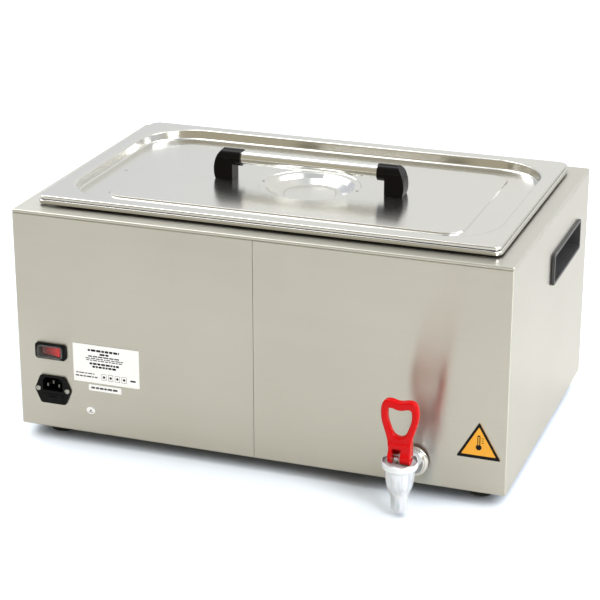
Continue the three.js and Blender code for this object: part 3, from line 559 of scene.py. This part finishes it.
# Painted light: the grips' black is lifted to a dark grey so that the floors of their deep cups look lit.
BLACK_GRIP = plastic("black_grip", (0.04, 0.04, 0.042), 0.36, depth=0.00002, Specular_IOR_Level=0.4)
RUBBER = plastic("foot_rubber", (0.012, 0.012, 0.012), 0.75, depth=0.00008)
BAKELITE = plastic("bakelite", (0.1, 0.085, 0.075), 0.5)
RED = plastic("lever_red", (0.6, 0.002, 0.004), 0.13, lift=1.08, depth=0.000004, Specular_IOR_Level=0.16)
LIT_RED = lit_red()
MILKY = milky()
WHITE = crown_white()
SILICONE = plastic("silicone", (0.82, 0.82, 0.78), 0.5, lift=1.05)
AMBER = plastic("lamp_lens", (0.8, 0.2, 0.03), 0.15, Emission_Color=(1, 0.3, 0.05, 1), Emission_Strength=0.3)
CERAMIC = plastic("ceramic", (0.82, 0.79, 0.71), 0.45, lift=1.08)
WOOL = plastic("mineral_wool", (0.56, 0.52, 0.4), 0.95, lift=1.35, grit=350, depth=0.0012)
SLEEVE = plastic("wire_sleeve", (0.4, 0.1, 0.05), 0.55)
# Painted light: the white labels and dial marks give off a faint glow.
PAPER = plastic(
    "label_white",
    (0.94, 0.95, 0.97),
    0.35,
    lift=1.03,
    depth=0.000004,
    Emission_Color=(0.9, 0.95, 1, 1),
    Emission_Strength=0.1,
)
YELLOW = plastic("label_yellow", (0.86, 0.4, 0.02), 0.4, lift=1.06, depth=0.000004)
INK = plastic("label_ink", (0.006, 0.006, 0.0065), 0.5, lift=1.5, Specular_IOR_Level=0.12)
GREY_INK = plastic("label_grey_ink", (0.05, 0.05, 0.055), 0.5, lift=1.2)
BOOT = clear_boot()


# ---- casing --------------------------------------------------------------------------------------
def wall_opening(outline, node, facing="front"):
    """A tool that cuts an outline through the wall where a node sits, in the casing's millimetres."""
    place = (middle(node) - CASE) / MM
    tool = plate([outline], 30)
    if facing in ("front", "rear"):
        side = -1 if facing == "front" else 1
        return shifted(tool, place.x, side * (CASE_DEPTH / 2 - 10), place.z, facing)
    side = -1 if facing == "left" else 1
    return shifted(tool, side * (CASE_LENGTH / 2 - 10), place.y, place.z, facing)


def make_casing():
    """Two folded wraps that meet in an upright seam at the middle of the long faces."""
    thickness, seam, fold = 1.2, 0.45, 1.6
    half_length, half_depth = CASE_LENGTH / 2, CASE_DEPTH / 2
    corners = [(45, WALL_BOTTOM), (0, WALL_BOTTOM, 2), (0, WALL_TOP, 1.5), (14, WALL_TOP)]
    keys = [
        (0, half_length, half_depth, 1.8),
        (fold, half_length - fold, half_depth - fold, 0.2),
        (45, half_length - 45, half_depth - 45, 0.2),
    ]
    grip = oblong(130, 31.2, 2)
    tools = {
        "left": [
            wall_opening(oblong(35, 15.4, 1), "switch_frame"),
            wall_opening(oblong(28, 32, 1), "inlet_body"),
            wall_opening(circle(1.8, 16), "inlet_screw_left"),
            wall_opening(circle(1.8, 16), "inlet_screw_right"),
            wall_opening(circle(3.4, 24), "thermostat_shaft", "rear"),
            wall_opening(circle(5.2, 24), "indicator_lamp", "rear"),
            wall_opening(grip, "side_handle_left", "left"),
        ],
        "right": [
            wall_opening(circle(9.1, 32), "tap_wall_ring"),
            wall_opening(grip, "side_handle_right", "right"),
        ],
    }
    for side, sign in (("left", -1), ("right", 1)):
        wrap = pressed(bend(corners), keys, cap=False)
        everything = [*wrap.verts, *wrap.edges, *wrap.faces]
        bmesh.ops.bisect_plane(
            wrap,
            geom=everything,
            plane_co=(sign * seam / 2, 0, 0),
            plane_no=(-sign, 0, 0),
            clear_outer=True,
        )
        shell = cut(sheet(wrap, thickness), *tools[side])
        name = f"casing_{side}"
        piece(f"{name}_sheet", shell, put(CASE), CASE_STEEL, stands_for=[name])


def make_deck():
    """The flat frame round the well, with its edge turned down to meet the wraps."""
    half_length, half_depth = CASE_LENGTH / 2, CASE_DEPTH / 2
    margin = 27.5
    corners = [(0, DECK_EDGE), (0, DECK_TOP, 1.5), (margin, DECK_TOP)]
    keys = [(0, half_length, half_depth, 1.8), (margin, half_length - margin, half_depth - 28.5, 42.5)]
    deck = sheet(pressed(bend(corners), keys, cap=False), 1.2)
    piece("deck_sheet", deck, put(CASE), DECK_STEEL, stands_for=["top_deck"])


def make_feet():
    """Four turned rubber feet, each with a recess for its screw's head."""
    profile = bend([(6, 0), (14, 0, 1), (15.6, 1.6, 1), (16, 14.7, 0.8), (2.8, 14.7), (2.8, 5), (6, 5)])
    for side in ("left", "right"):
        for row in ("front", "rear"):
            node = f"foot_{row}_{side}"
            place = middle(node)
            place.z = 0
            piece(f"{node}_rubber", lathe(profile, 48), put(place), RUBBER, stands_for=[node])
            dress(SCREW_STEEL, f"foot_screw_{row}_{side}", edge=0.3)


# ---- tank, pan and lid ---------------------------------------------------------------------------
def make_tank():
    """The well, with the raised curb that the pan's rim stands on."""
    length, depth, _ = size_of("well_tank")
    bottom, top = levels("well_tank")
    thickness, curb, drain_radius = 1, 6, 7
    floor = bottom + thickness
    half_length, half_depth = length / 2 - curb, depth / 2 - curb
    reach = half_depth * 0.6
    corners = [(0, DECK_TOP + 0.3), (0, top, 1.5), (curb, top, 1.5), (curb, floor, 6), (curb + reach, floor)]
    keys = [
        (0, half_length + curb, half_depth + curb, 46),
        (curb, half_length, half_depth, 40),
        (curb + 30, half_length - 30, half_depth - 30, 12),
        (curb + reach, half_length - reach, half_depth - reach, 12),
    ]
    drain = (middle("drain_elbow") - CASE) / MM
    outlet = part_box("drain_elbow")[1].y / MM - 17 - CASE.y / MM
    tank = sheet(pressed(bend(corners), keys), thickness)
    tank = cut(tank, shifted(plate([circle(drain_radius)], 20), drain.x, outlet, floor - 10))
    piece("tank_sheet", tank, put(CASE), TANK_STEEL, stands_for=["well_tank"])


def make_pan():
    """The deep tray: its sides lean in by taper, and its rim turns down by lip."""
    length, depth, _ = size_of("wax_pan")
    half_length, half_depth = length / 2, depth / 2
    bottom, top = levels("wax_pan")
    thickness, lip, rim, taper = 1, 4.4, 13, 0.05
    floor = bottom + thickness
    run = rim + taper * (top - floor)
    corners = [(0, top - lip), (0, top, 2.8), (rim, top, 3), (run, floor, 11), (run + 90, floor)]
    keys = [
        (0, half_length, half_depth, 9),
        (rim, half_length - rim, half_depth - rim, 59),
        (run, half_length - run, half_depth - run, 58),
        (run + 50, half_length - run - 50, half_depth - run - 50, 20),
        (run + 90, half_length - run - 90, half_depth - run - 90, 20),
    ]
    pan = sheet(pressed(bend(corners, steps=7), keys), thickness)
    piece("pan_sheet", pan, put(CASE), PRESSED_STEEL, "pan", ["wax_pan"])


def make_lid():
    """Pressed from its edge inwards: lip, rim, trough, plateau, ledge and round finger dish."""
    length, depth, _ = size_of("lid")
    half_length, half_depth = length / 2, depth / 2
    top = levels("lid")[1]
    trough, plateau, dish = top - 10.6, top - 8.6, top - 19.4
    ledge = plateau - 0.8
    corners = [
        (0, top - 3.6),
        (0, top, 2.4),
        (17, top, 2.6),
        (19.7, trough, 2.4),
        (55.8, trough, 0.7),
        (57.2, plateau, 0.7),
        (96, plateau),
        (97.8, plateau, 0.6),
        (99.4, ledge, 0.6),
        (109, ledge),
        (110.5, ledge, 2),
        (116, dish + 5.2, 4),
        (125, dish + 0.4, 3),
        (128.5, dish, 2),
        (131.5, dish, 1),
        (132.5, dish + 0.8, 0.8),
        (150, dish + 0.8),
    ]
    keys = [
        (0, half_length, half_depth, 7.5),
        (17, 247.5, 143.5, 60),
        (19.7, 244.8, 140.8, 57.5),
        (55.8, 208.7, 110.7, 22.7),
        (57.2, 207.3, 109.3, 21.3),
        (96, 60, 60, 59.99),
        (109, 53, 53, 52.99),
        (161.99, 0.01, 0.01, 0.005),
    ]
    lid = sheet(pressed(bend(corners, steps=6), keys), 1)
    holes = [(2.5, -224, -11.5), (3, -56.5, 0), (3, 56.5, 0)]
    tools = [shifted(plate([circle(d / 2, 24)], 20), x, y, trough - 10) for d, x, y in holes]
    piece("lid_sheet", cut(lid, *tools), put(CASE), PRESSED_STEEL, "lid", ["lid"])


def make_lid_handle():
    """A steel tube held in the sleeves of two moulded brackets."""
    axis = middle("lid_handle_tube")
    length, _, across = size_of("lid_handle_tube")
    radius = across / 2
    inner = radius - 1
    profile = bend([(inner, 0), (radius, 0, 0.4), (radius, length, 0.4), (inner, length)])
    tube = shifted(lathe(profile, 48), -length / 2, 0, 0, "right")
    piece("handle_tube", tube, put(axis), POLISHED_STEEL, "lid", ["lid_handle_tube"])

    low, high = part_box("lid_bracket_right")
    base, top = levels("lid_bracket_right")
    sleeve_end, outer = (low.x - axis.x) / MM, (high.x - axis.x) / MM
    half = (high.y - low.y) / 2 / MM
    centre = axis.z / MM
    leg_x = sleeve_end + 9.3
    back = bezier([(outer - 2, base), (outer + 2.3, 288), (outer - 1.7, 304), (outer - 9.7, top)], 14)
    side = [(leg_x, base), *back, (leg_x, top)]
    arch = [(-half, base), *arc((0, top - half), half, 180, 0, 30), (half, base)][::-1]
    for name, turn in (("right", 0), ("left", math.pi)):
        leg = shifted(plate([side], 30), 0, 15, 0, "front")
        leg = joined(leg, shifted(plate([arch], 60), 70, 0, 0, "right"), operation="INTERSECT")
        leg = joined(leg, shifted(plate([circle(half, 60)], 14), sleeve_end, 0, centre, "right"))
        leg = cut(leg, shifted(plate([circle(radius + 0.3, 48)], 60), 40, 0, centre, "right"))
        leg = eased(leg, 0.9)
        place = Matrix.Translation((axis.x, axis.y, 0)) @ Matrix.Rotation(turn, 4, "Z") @ Matrix.Scale(MM, 4)
        node = f"lid_bracket_{name}"
        piece(f"{node}_moulding", leg, place, BLACK_GLOSS, "lid", [node])
        dress(SCREW_STEEL, f"lid_screw_{name}", edge=0.3)


def make_side_handles():
    """A recessed plastic grip in each end wall: a raised bezel round a deep cup."""
    for side in ("left", "right"):
        node = f"side_handle_{side}"
        _, length, height = size_of(node)
        half_length, half_height = length / 2, height / 2
        bezel, floor = 3.4, -18
        corners = [(0, 0.3), (0, 3.5, 0.9), (bezel, 3.5, 0.7), (4.8, floor, 1.5), (17, floor)]
        keys = [
            (0, half_length, half_height, 4),
            (bezel, half_length - bezel, half_height - bezel, 2.4),
            (17, half_length - 17, half_height - 17, 0.5),
        ]
        cup = sheet(pressed(bend(corners), keys), 1.2)
        wall = CASE.x + (CASE_LENGTH / 2 * MM if side == "right" else -CASE_LENGTH / 2 * MM)
        place = Vector((wall, middle(node).y, middle(node).z))
        piece(f"{node}_cup", cup, put(place, side), BLACK_GRIP, stands_for=[node])


# ---- drain tap -----------------------------------------------------------------------------------
def make_tap():
    """The drain tap: body with spout, scalloped collar, wall ring, valve and lever."""
    shank = middle("tap_wall_ring")
    upright = middle("tap_collar")
    axis = Vector((upright.x, upright.y, shank.z))
    reach = (FRONT_Y - upright.y) / MM
    bottom = (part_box("tap_body")[0].z - shank.z) / MM
    seat = -12
    collar_low = (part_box("tap_collar")[0].z - shank.z) / MM
    collar_top = (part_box("tap_collar")[1].z - shank.z) / MM
    collar_seat = collar_top - 2.5
    barrel = lathe(
        bend(
            [
                (6.8, bottom),
                (8.9, bottom, 0.9),
                (9.4, -20.5, 20),
                (9.9, -16.9, 5),
                (11.5, -13.2, 8),
                (14.2, -6, 20),
                (15.7, 4.9, 20),
                (16, collar_low - 0.3),
                (14, collar_low - 0.3),
                (14, collar_low + 2.5),
                (12, collar_low + 2.5),
                (12, 2),
                (9.3, seat),
                (6.8, seat),
            ]
        ),
        72,
    )
    tube = bend([(6, 0), (8.8, 0), (8.8, reach + 19, 0.8), (6, reach + 19)])
    body = joined(barrel, shifted(lathe(tube, 48), 0, 11, 0, "rear"))
    piece("tap_barrel", body, put(axis), MILKY, stands_for=["tap_body"])

    lobes, lift, swell = 8, 0.75, 0.012
    profile = bend(
        [
            (4.2, collar_low),
            (16.4, collar_low, 0.5),
            (16.9, collar_low + 1.4, 0.8),
            (19, collar_low + 2.8, 0.9),
            (19.6, collar_top, 0.7),
            (18.2, collar_top, 0.6),
            (17.2, collar_seat, 0.5),
            (4.2, collar_seat),
        ]
    )
    crown = lathe(profile, 96)
    for vertex in crown.verts:
        radius = vertex.co.to_2d().length
        wave = math.cos(lobes * math.atan2(vertex.co.y, vertex.co.x))
        share = max(0, min(1, (vertex.co.z - collar_low - 3) / 4)) * max(0, min(1, radius - 17))
        vertex.co.z += lift * wave * share
        vertex.co.xy *= 1 + swell * wave * share
    piece("tap_crown", crown, put(axis), WHITE, stands_for=["tap_collar"])

    ring = bend(
        [(9.1, 2.6), (17.5, 2.6), (17.5, 5.4, 1.6), (14.6, 6.2, 0.6), (14.3, 9, 1.4), (9.1, 9)], steps=6
    )
    wall = put(on_front("tap_wall_ring"), "front")
    piece("tap_ring", lathe(ring, 72), wall, POLISHED_STEEL, stands_for=["tap_wall_ring"])
    dress(RUBBER, "tap_washer", edge=0.3)
    dress(SCREW_STEEL, "tap_lock_nut", edge=0.4)
    dress(SCREW_STEEL, "tap_lever_pin", edge=0.2)
    dress(SILICONE, "tap_seal_cup")
    make_tap_stem()
    make_lever()
    make_spring()


def make_tap_stem():
    """The rod of the valve, drawn from the lever's pin, which its eye holds."""
    pin = JOINT_AT["lever_tilt"]
    bottom = (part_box("tap_stem")[0].z - pin.z) / MM
    rod = lathe(bend([(0, bottom), (2.5, bottom, 0.4), (2.5, -5, 1), (0.6, -2), (0, -2)]), 32)
    eye = shifted(plate([circle(3, 40), circle(1.8, 24)], 2, 0.3), -1, 0, 0, "right")
    piece("tap_stem_rod", joined(rod, eye), put(pin), WHITE, "tap_stem", ["tap_stem"])


def make_lever():
    """The red loop, drawn from the front about its pin."""
    pin = JOINT_AT["lever_tilt"]
    low, high = -11.2, 13
    loop = bezier(
        [(12.5, 10), (12.5, 25), (20.5, 34), (20.5, 49), (20.5, 60), (17, 64), (11, 64), (6, 64), (5, 62.3), (0, 62.3)]
    )
    hole = bezier(
        [(0, 22.5), (5, 22.5), (7.3, 26), (9.2, 31), (11.6, 37), (13.2, 42), (13.2, 47)]
        + [(13.2, 52), (12.4, 54.3), (10.2, 54.3), (6.5, 54.3), (4, 52.4), (0, 52.4)]
    )
    ring = shifted(plate([mirrored(loop), mirrored(hole)], 9, 2.6, 5), 0, 2.5, 0, "front")
    cam = arc((-3, 0), 8, 29, -231.3, 40)
    side = bend([(4, 17, 2.5), (4, 4)]) + cam + [(-8, 6.3)] + bend([(-8, 6.3), (-8, 17, 2.5), (4, 17)])[1:-1]
    cheeks = shifted(plate([side], high - low, 0.9), low, 0, 0, "right")
    slot = block(-7.2, 2.7, -20, 3.2, -20, 10)
    pin_hole = shifted(plate([circle(1.8, 24)], 40), -20, 0, 0, "right")
    lever = eased(cut(joined(cheeks, ring), slot, pin_hole), 0.35, angle=50, segments=2)
    piece("tap_lever_loop", lever, put(pin), RED, "tap_lever", ["tap_lever"], sharp=40)


def make_spring():
    """The return spring, which the rising stem squeezes."""
    low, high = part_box("tap_spring")
    wire, turns, steps = 0.6 * MM, 5, 24
    radius = (high.x - low.x) / 2 - wire
    axis = middle("tap_spring")
    height = high.z - low.z - 2 * wire
    curve = bpy.data.curves.new("spring", "CURVE")
    curve.dimensions = "3D"
    curve.bevel_depth = wire
    curve.bevel_resolution = 3
    curve.use_fill_caps = True
    spline = curve.splines.new("POLY")
    spline.points.add(turns * steps)
    for i, point in enumerate(spline.points):
        angle = 2 * math.pi * i / steps
        rise = low.z + wire + height * i / (turns * steps)
        point.co = (axis.x + radius * math.cos(angle), axis.y + radius * math.sin(angle), rise, 1)
    coil = piece("tap_coil", mesh_of(curve), Matrix.Identity(4), SCREW_STEEL, "casing", ["tap_spring"])
    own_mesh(coil)


# ---- switch and mains inlet ----------------------------------------------------------------------
def make_switch():
    """A lit rocker under a clear boot, at rest tipped to one side."""
    at = on_front("switch_frame")
    dress(BLACK, "switch_frame", edge=0.5)
    pivot = JOINT_AT["rocker_tilt"]
    section = bend(
        [(-12, -5.5, 0.8), (0, -3.2, 9), (12, -5.5, 0.8), (12, -1, 1), (5, 6, 1), (-5, 6, 1), (-12, -1, 1)],
        steps=8,
        closed=True,
    )
    rocker = shifted(plate([section], 10.8, 0.6), 0, 0, -5.4)
    lean = math.radians(-10)
    tilt = Matrix.Translation(pivot) @ Matrix.Rotation(lean, 4, "Z") @ Matrix.Scale(MM, 4)
    piece("switch_key", rocker, tilt, LIT_RED, "rocker", ["switch_rocker"])

    corners = [(0, 2.8), (0, 7.2, 1.8), (3, 7.2), (6, 7.2)]
    keys = [(0, 15, 7.25, 3), (6, 9, 1.25, 0.8)]
    boot = sheet(pressed(bend(corners), keys), 0.7)
    piece("switch_cover", boot, put(at, "front"), BOOT, stands_for=["switch_boot"])


def make_inlet():
    """The mains inlet, with cross-headed screws at its sides."""
    dress(BLACK, "inlet_body", edge=0.5)
    dress(BLACK, "fuse_drawer", edge=0.35)
    dress(CERAMIC, "fuse_cartridge", edge=0.3)
    dress(PIN_METAL, "inlet_pin_live", "inlet_pin_neutral", "inlet_pin_earth", edge=0.3)
    for side in ("left", "right"):
        node = f"inlet_screw_{side}"
        profile = bend([(0, -8), (1.5, -8), (1.5, 2.7), (3, 2.7), (2.9, 3.2, 0.3), (1.8, 3.75, 0.6), (0, 3.8)])
        head = cut(
            lathe(profile, 40),
            block(-0.7, 0.7, -2, 2, 2.9, 6),
            block(-2, 2, -0.7, 0.7, 2.9, 6),
        )
        piece(f"{node}_head", head, put(on_front(node), "front"), SCREW_STEEL, stands_for=[node])


# ---- heating and its control ---------------------------------------------------------------------
def make_thermostat():
    """The ribbed dial with its marks and pointer, and the lamp beside it."""
    at = middle("thermostat_knob")
    at.y = REAR_Y
    ribs, rib_depth = 24, 0.02
    skirt = bend(
        [(3.3, 1.2), (20, 1.2), (20, 4, 1), (18.5, 5.5, 0.8), (14.5, 6.5, 1.5), (13.5, 18, 3)]
        + [(12, 19.4, 1), (0, 19.5), (0, 14.5), (3.3, 14.5)]
    )
    knob = lathe(skirt, 96)
    for vertex in knob.verts:
        radius = vertex.co.to_2d().length
        if 12 < radius < 15 and vertex.co.z > 7:
            wave = math.cos(ribs * math.atan2(vertex.co.y, vertex.co.x))
            vertex.co.xy *= 1 + rib_depth * wave
    piece("thermostat_dial", knob, put(at, "rear"), BLACK, "knob", ["thermostat_knob"])
    marks, first, pitch = [], -45, -30
    for k in range(10):
        turn = Matrix.Rotation(math.radians(first + pitch * k), 4, "Z")
        length = 2.6 if k % 3 == 0 else 1.5
        mark = shifted(plate([oblong(0.5, length, 0.2)], 0.3, 0.08), 0, 17.6, 5.35)
        marks.append(moved(mark, turn))
    pointer = shifted(plate([oblong(1.2, 9, 0.5)], 0.4, 0.1), 0, 6.5, 19.2)
    piece("thermostat_dial_marks", merged(*marks, pointer), put(at, "rear"), PAPER, "knob")
    lamp = middle("indicator_lamp")
    lamp.y = REAR_Y
    lens = bend([(0, -18), (4.8, -18), (4.8, 0.3), (6.5, 0.3), (6.5, 1.8, 0.6), (5, 2.1), (4.4, 4, 1.5), (0, 5)])
    piece("lamp_lens", lathe(lens, 48), put(lamp, "rear"), AMBER, stands_for=["indicator_lamp"])
    dress(BAKELITE, "thermostat_body", edge=0.6)
    dress(SCREW_STEEL, "thermostat_shaft", edge=0.2)


def make_inner_parts():
    """What the casing hides keeps its CAD shape, with a proper finish."""
    dress(DECK_STEEL, "base_plate", edge=0.2)
    dress(WOOL, "well_insulation", edge=0.8)
    dress(SCREW_STEEL, "drain_elbow")
    dress(ELEMENT_STEEL, "heating_element")
    dress(TANK_STEEL, "element_clamp", edge=0.3)
    dress(BAKELITE, "thermal_cutout", edge=0.3)
    dress(COPPER, "thermostat_bulb")
    dress(CERAMIC, "terminal_block", edge=0.5)
    dress(SLEEVE, "supply_wires", "element_wires")


# ---- labels --------------------------------------------------------------------------------------
def make_label(node, outline, look):
    """The label's sheet. Gives back the place on its face for what is printed there."""
    low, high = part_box(node)
    at = on_front(node)
    at.y = high.y
    backing = plate([outline], (high.y - low.y) / MM, 0.08)
    piece(f"{node}_sheet", backing, put(at, "front"), look, stands_for=[node])
    at.y = low.y
    return at


PRINT = 0.05  # how far print stands out of its label


def row_of_bars(centre, height, width, thick, seed):
    """A generic line of print: bars of uneven length in place of words."""
    draw = random.Random(seed)
    bars, start = [], centre - width / 2
    while start < centre + width / 2 - 1:
        length = min(draw.uniform(2.2, 6.5), centre + width / 2 - start)
        bar = plate([oblong(length, thick, thick * 0.2, 2)], PRINT)
        bars.append(shifted(bar, start + length / 2, height, 0))
        start += length + 0.9
    return bars


def make_labels():
    """Rating plate, serial label and round sticker, with bars and boxes in place of print."""
    plate_at = make_label("rating_plate", oblong(80.7, 45.7, 0.8), PAPER)
    heavy = row_of_bars(-2.6, 16.4, 38.5, 2.6, 1) + row_of_bars(-2, 12.4, 11, 2.3, 2)
    heavy += row_of_bars(-2.2, 0.4, 36, 2.4, 3) + row_of_bars(-2.4, -3.2, 29, 2.4, 4)
    light = row_of_bars(-2.6, 9.2, 38, 1.6, 5) + row_of_bars(-2, 6.6, 46, 1.2, 6) + row_of_bars(-2, 4.4, 44, 1.2, 7)
    light += row_of_bars(-26, -12.2, 23, 1.3, 8) + row_of_bars(-24.5, -16, 27, 1.6, 9)
    first, pitch, foot_line = -3, 8.2, -14.6
    for k in range(4):
        frame_box = plate([oblong(6, 7.6, 0.6, 2), oblong(5.2, 6.8, 0.4, 2)], PRINT)
        light.append(shifted(frame_box, first + pitch * k, foot_line, 0))
        heavy.append(shifted(plate([circle(1.5, 20)], PRINT), first + pitch * k, foot_line, 0))
    heavy.append(shifted(plate([oblong(6.5, 2, 0.4, 2)], PRINT), 32.5, foot_line, 0))
    piece("rating_plate_bars", merged(*heavy), put(plate_at, "front"), INK)
    piece("rating_plate_fine_bars", merged(*light), put(plate_at, "front"), GREY_INK)

    serial_at = make_label("serial_label", oblong(40, 7.5, 0.8), PAPER)
    serial = merged(*row_of_bars(0, 0, 34, 2.4, 10))
    piece("serial_label_bars", serial, put(serial_at, "front"), GREY_INK)

    oval = [(x, 0.78 * y) for x, y in circle(5.4)]
    round_at = make_label("check_sticker", oval, PAPER)
    dot = merged(plate([circle(1.1, 20)], PRINT), shifted(plate([oblong(6, 0.8, 0.3, 2)], PRINT), 0, -2, 0))
    piece("check_sticker_mark", dot, put(round_at, "front"), GREY_INK)
    make_heat_mark()


def triangle(half, height, corner):
    """A triangle about the middle of its box, with round corners."""
    return bend([(-half, -height / 2, corner), (half, -height / 2, corner), (0, height / 2, corner)], 8, closed=True)


def make_heat_mark():
    """A plain hot-surface triangle: a dark border round a thermometer."""
    length, _, height = size_of("heat_mark")
    half = length / 2
    outer = triangle(half + 0.7, height + 1, 1)
    inner = [(x, y - 1) for x, y in triangle(half - 4.6, height - 8.2, 0.6)]
    at = make_label("heat_mark", outer, YELLOW)
    border = plate([outer, inner], PRINT)
    stem = mirrored([(0, 5.5), *arc((0, 4.5), 1.6, 80, 0, 6), *arc((0, -8), 3.2, 60, -90, 14)])
    bore = mirrored([(0, 4.4), *arc((0, 4), 0.6, 80, 0, 4), (0.6, -5.2), (0, -5.2)])
    glass = plate([stem, bore], PRINT)
    ticks = [shifted(plate([oblong(2.2, 0.8, 0.2, 2)], PRINT), 4.2, -2.5 + 2.6 * k, 0) for k in range(3)]
    piece("heat_mark_print", merged(border, glass, *ticks), put(at, "front"), INK)


# ---- studio --------------------------------------------------------------------------------------
def make_camera():
    """Looks at the target from its azimuth and elevation."""
    azimuth, elevation = math.radians(CAMERA_AZIMUTH), math.radians(CAMERA_ELEVATION)
    back = Vector(
        (math.sin(azimuth) * math.cos(elevation), -math.cos(azimuth) * math.cos(elevation), math.sin(elevation))
    )
    camera = bpy.data.objects.new("camera", bpy.data.cameras.new("camera"))
    camera.data.lens = CAMERA_LENS
    camera.location = CAMERA_TARGET + back * CAMERA_DISTANCE
    camera.rotation_euler = (math.pi / 2 - elevation, 0, azimuth)
    scene.collection.objects.link(camera)
    scene.camera = camera


STUDIO_WHITE = (1.1, 1.1, 1.1, 1)


def make_floor():
    """A pale floor. The camera sees it lighter than the steel does, shaded under the casing, and
    fading into an even white from sweep_start to sweep_end away."""
    shade_reach, sweep_start, sweep_end = 0.09, 0.9, 2.2
    look = Look("studio_floor", Roughness=0.7, Specular_IOR_Level=0.2)
    look.colour(look.noise((3, 3, 3)), (0.74, 0.735, 0.72), (0.76, 0.755, 0.74))
    # Painted shadow: ambient occlusion turns the floor blue-grey under and next to the casing.
    open_sky = look.add("AmbientOcclusion", {"Distance": shade_reach}).outputs["AO"]
    shade = look.add("ValToRGB", {0: open_sky})
    hidden, clear = shade.color_ramp.elements
    hidden.position, clear.position = 0.04, 0.5
    hidden.color, clear.color = (0.26, 0.29, 0.37, 1), (1.05, 1.13, 1.24, 1)
    seen = look.add("BsdfDiffuse", {"Color": shade.outputs[0]})
    away = look.add("VectorMath", {0: look.position()}, operation="LENGTH").outputs["Value"]
    sweep = look.add("MapRange", {0: away, 1: sweep_start, 2: sweep_end, 3: 0, 4: 1}).outputs[0]
    backdrop = look.add("Emission", {"Color": STUDIO_WHITE})
    seen = look.add("MixShader", {0: sweep, 1: seen.outputs[0], 2: backdrop.outputs[0]})
    path = look.add("LightPath").outputs["Is Camera Ray"]
    mix = look.add("MixShader", {0: path, 1: look.shader.outputs[0], 2: seen.outputs[0]})
    look.links.new(mix.outputs[0], look.tree.nodes["Material Output"].inputs["Surface"])
    floor = bmesh.new()
    bmesh.ops.create_grid(floor, x_segments=1, y_segments=1, size=12)
    made = object_of("floor", floor)
    made.data.materials.append(look.material)


def make_world():
    """Soft light from all round: white behind and above, warmer and dimmer in front.
    The camera sees plain white."""
    world = bpy.data.worlds.new("studio")
    scene.world = world
    world.use_nodes = True
    tree = world.node_tree
    direction = add_node(tree, "TexCoord").outputs["Generated"]
    lean = add_node(tree, "VectorMath", {0: direction, 1: (0.1, 0.8, 0.6)}, operation="DOT_PRODUCT")
    share = add_node(tree, "MapRange", {0: lean.outputs["Value"], 1: -1})
    ramp = add_node(tree, "ValToRGB", {0: share.outputs[0]})
    stops = [(0.2, (0.5, 0.45, 0.33)), (0.45, (0.5, 0.46, 0.36)), (0.62, (0.72, 0.72, 0.72))]
    stops += [(0.86, (0.72, 0.76, 0.84)), (0.95, (0.97, 0.965, 0.94))]
    elements = ramp.color_ramp.elements
    elements[0].position, elements[1].position = stops[0][0], stops[-1][0]
    for position, _ in stops[1:-1]:
        elements.new(position)
    for element, (_, colour) in zip(elements, stops):
        element.color = (*colour, 1)
    around = tree.nodes["Background"]
    tree.links.new(ramp.outputs[0], around.inputs["Color"])
    plain = add_node(tree, "Background", {"Color": STUDIO_WHITE})
    path = add_node(tree, "LightPath").outputs["Is Camera Ray"]
    mix = add_node(tree, "MixShader", {0: path, 1: around.outputs[0], 2: plain.outputs[0]})
    tree.links.new(mix.outputs[0], tree.nodes["World Output"].inputs["Surface"])


def make_light(name, location, size, power):
    """A soft box that looks at the middle of the casing."""
    aim = (0, 0, 0.15)
    light = bpy.data.lights.new(name, "AREA")
    light.shape = "RECTANGLE"
    light.size, light.size_y = size
    light.energy = power
    made = bpy.data.objects.new(name, light)
    made.location = location
    made.rotation_euler = (Vector(location) - Vector(aim)).to_track_quat("Z", "Y").to_euler()
    scene.collection.objects.link(made)


make_camera()
make_casing()
make_deck()
make_feet()
make_tank()
make_pan()
make_lid()
make_lid_handle()
make_side_handles()
make_tap()
make_switch()
make_inlet()
make_thermostat()
make_inner_parts()
make_labels()
make_floor()
make_world()
make_light("left_box", (-1.5, 0.5, 2.3), (1.5, 2.4), 38)
make_light("right_box", (1.5, 0.5, 2.3), (1.5, 2.4), 38)
make_light("key", (2.1, -1.5, 1.5), (1, 1), 40)
scene.view_settings.view_transform = "Standard"
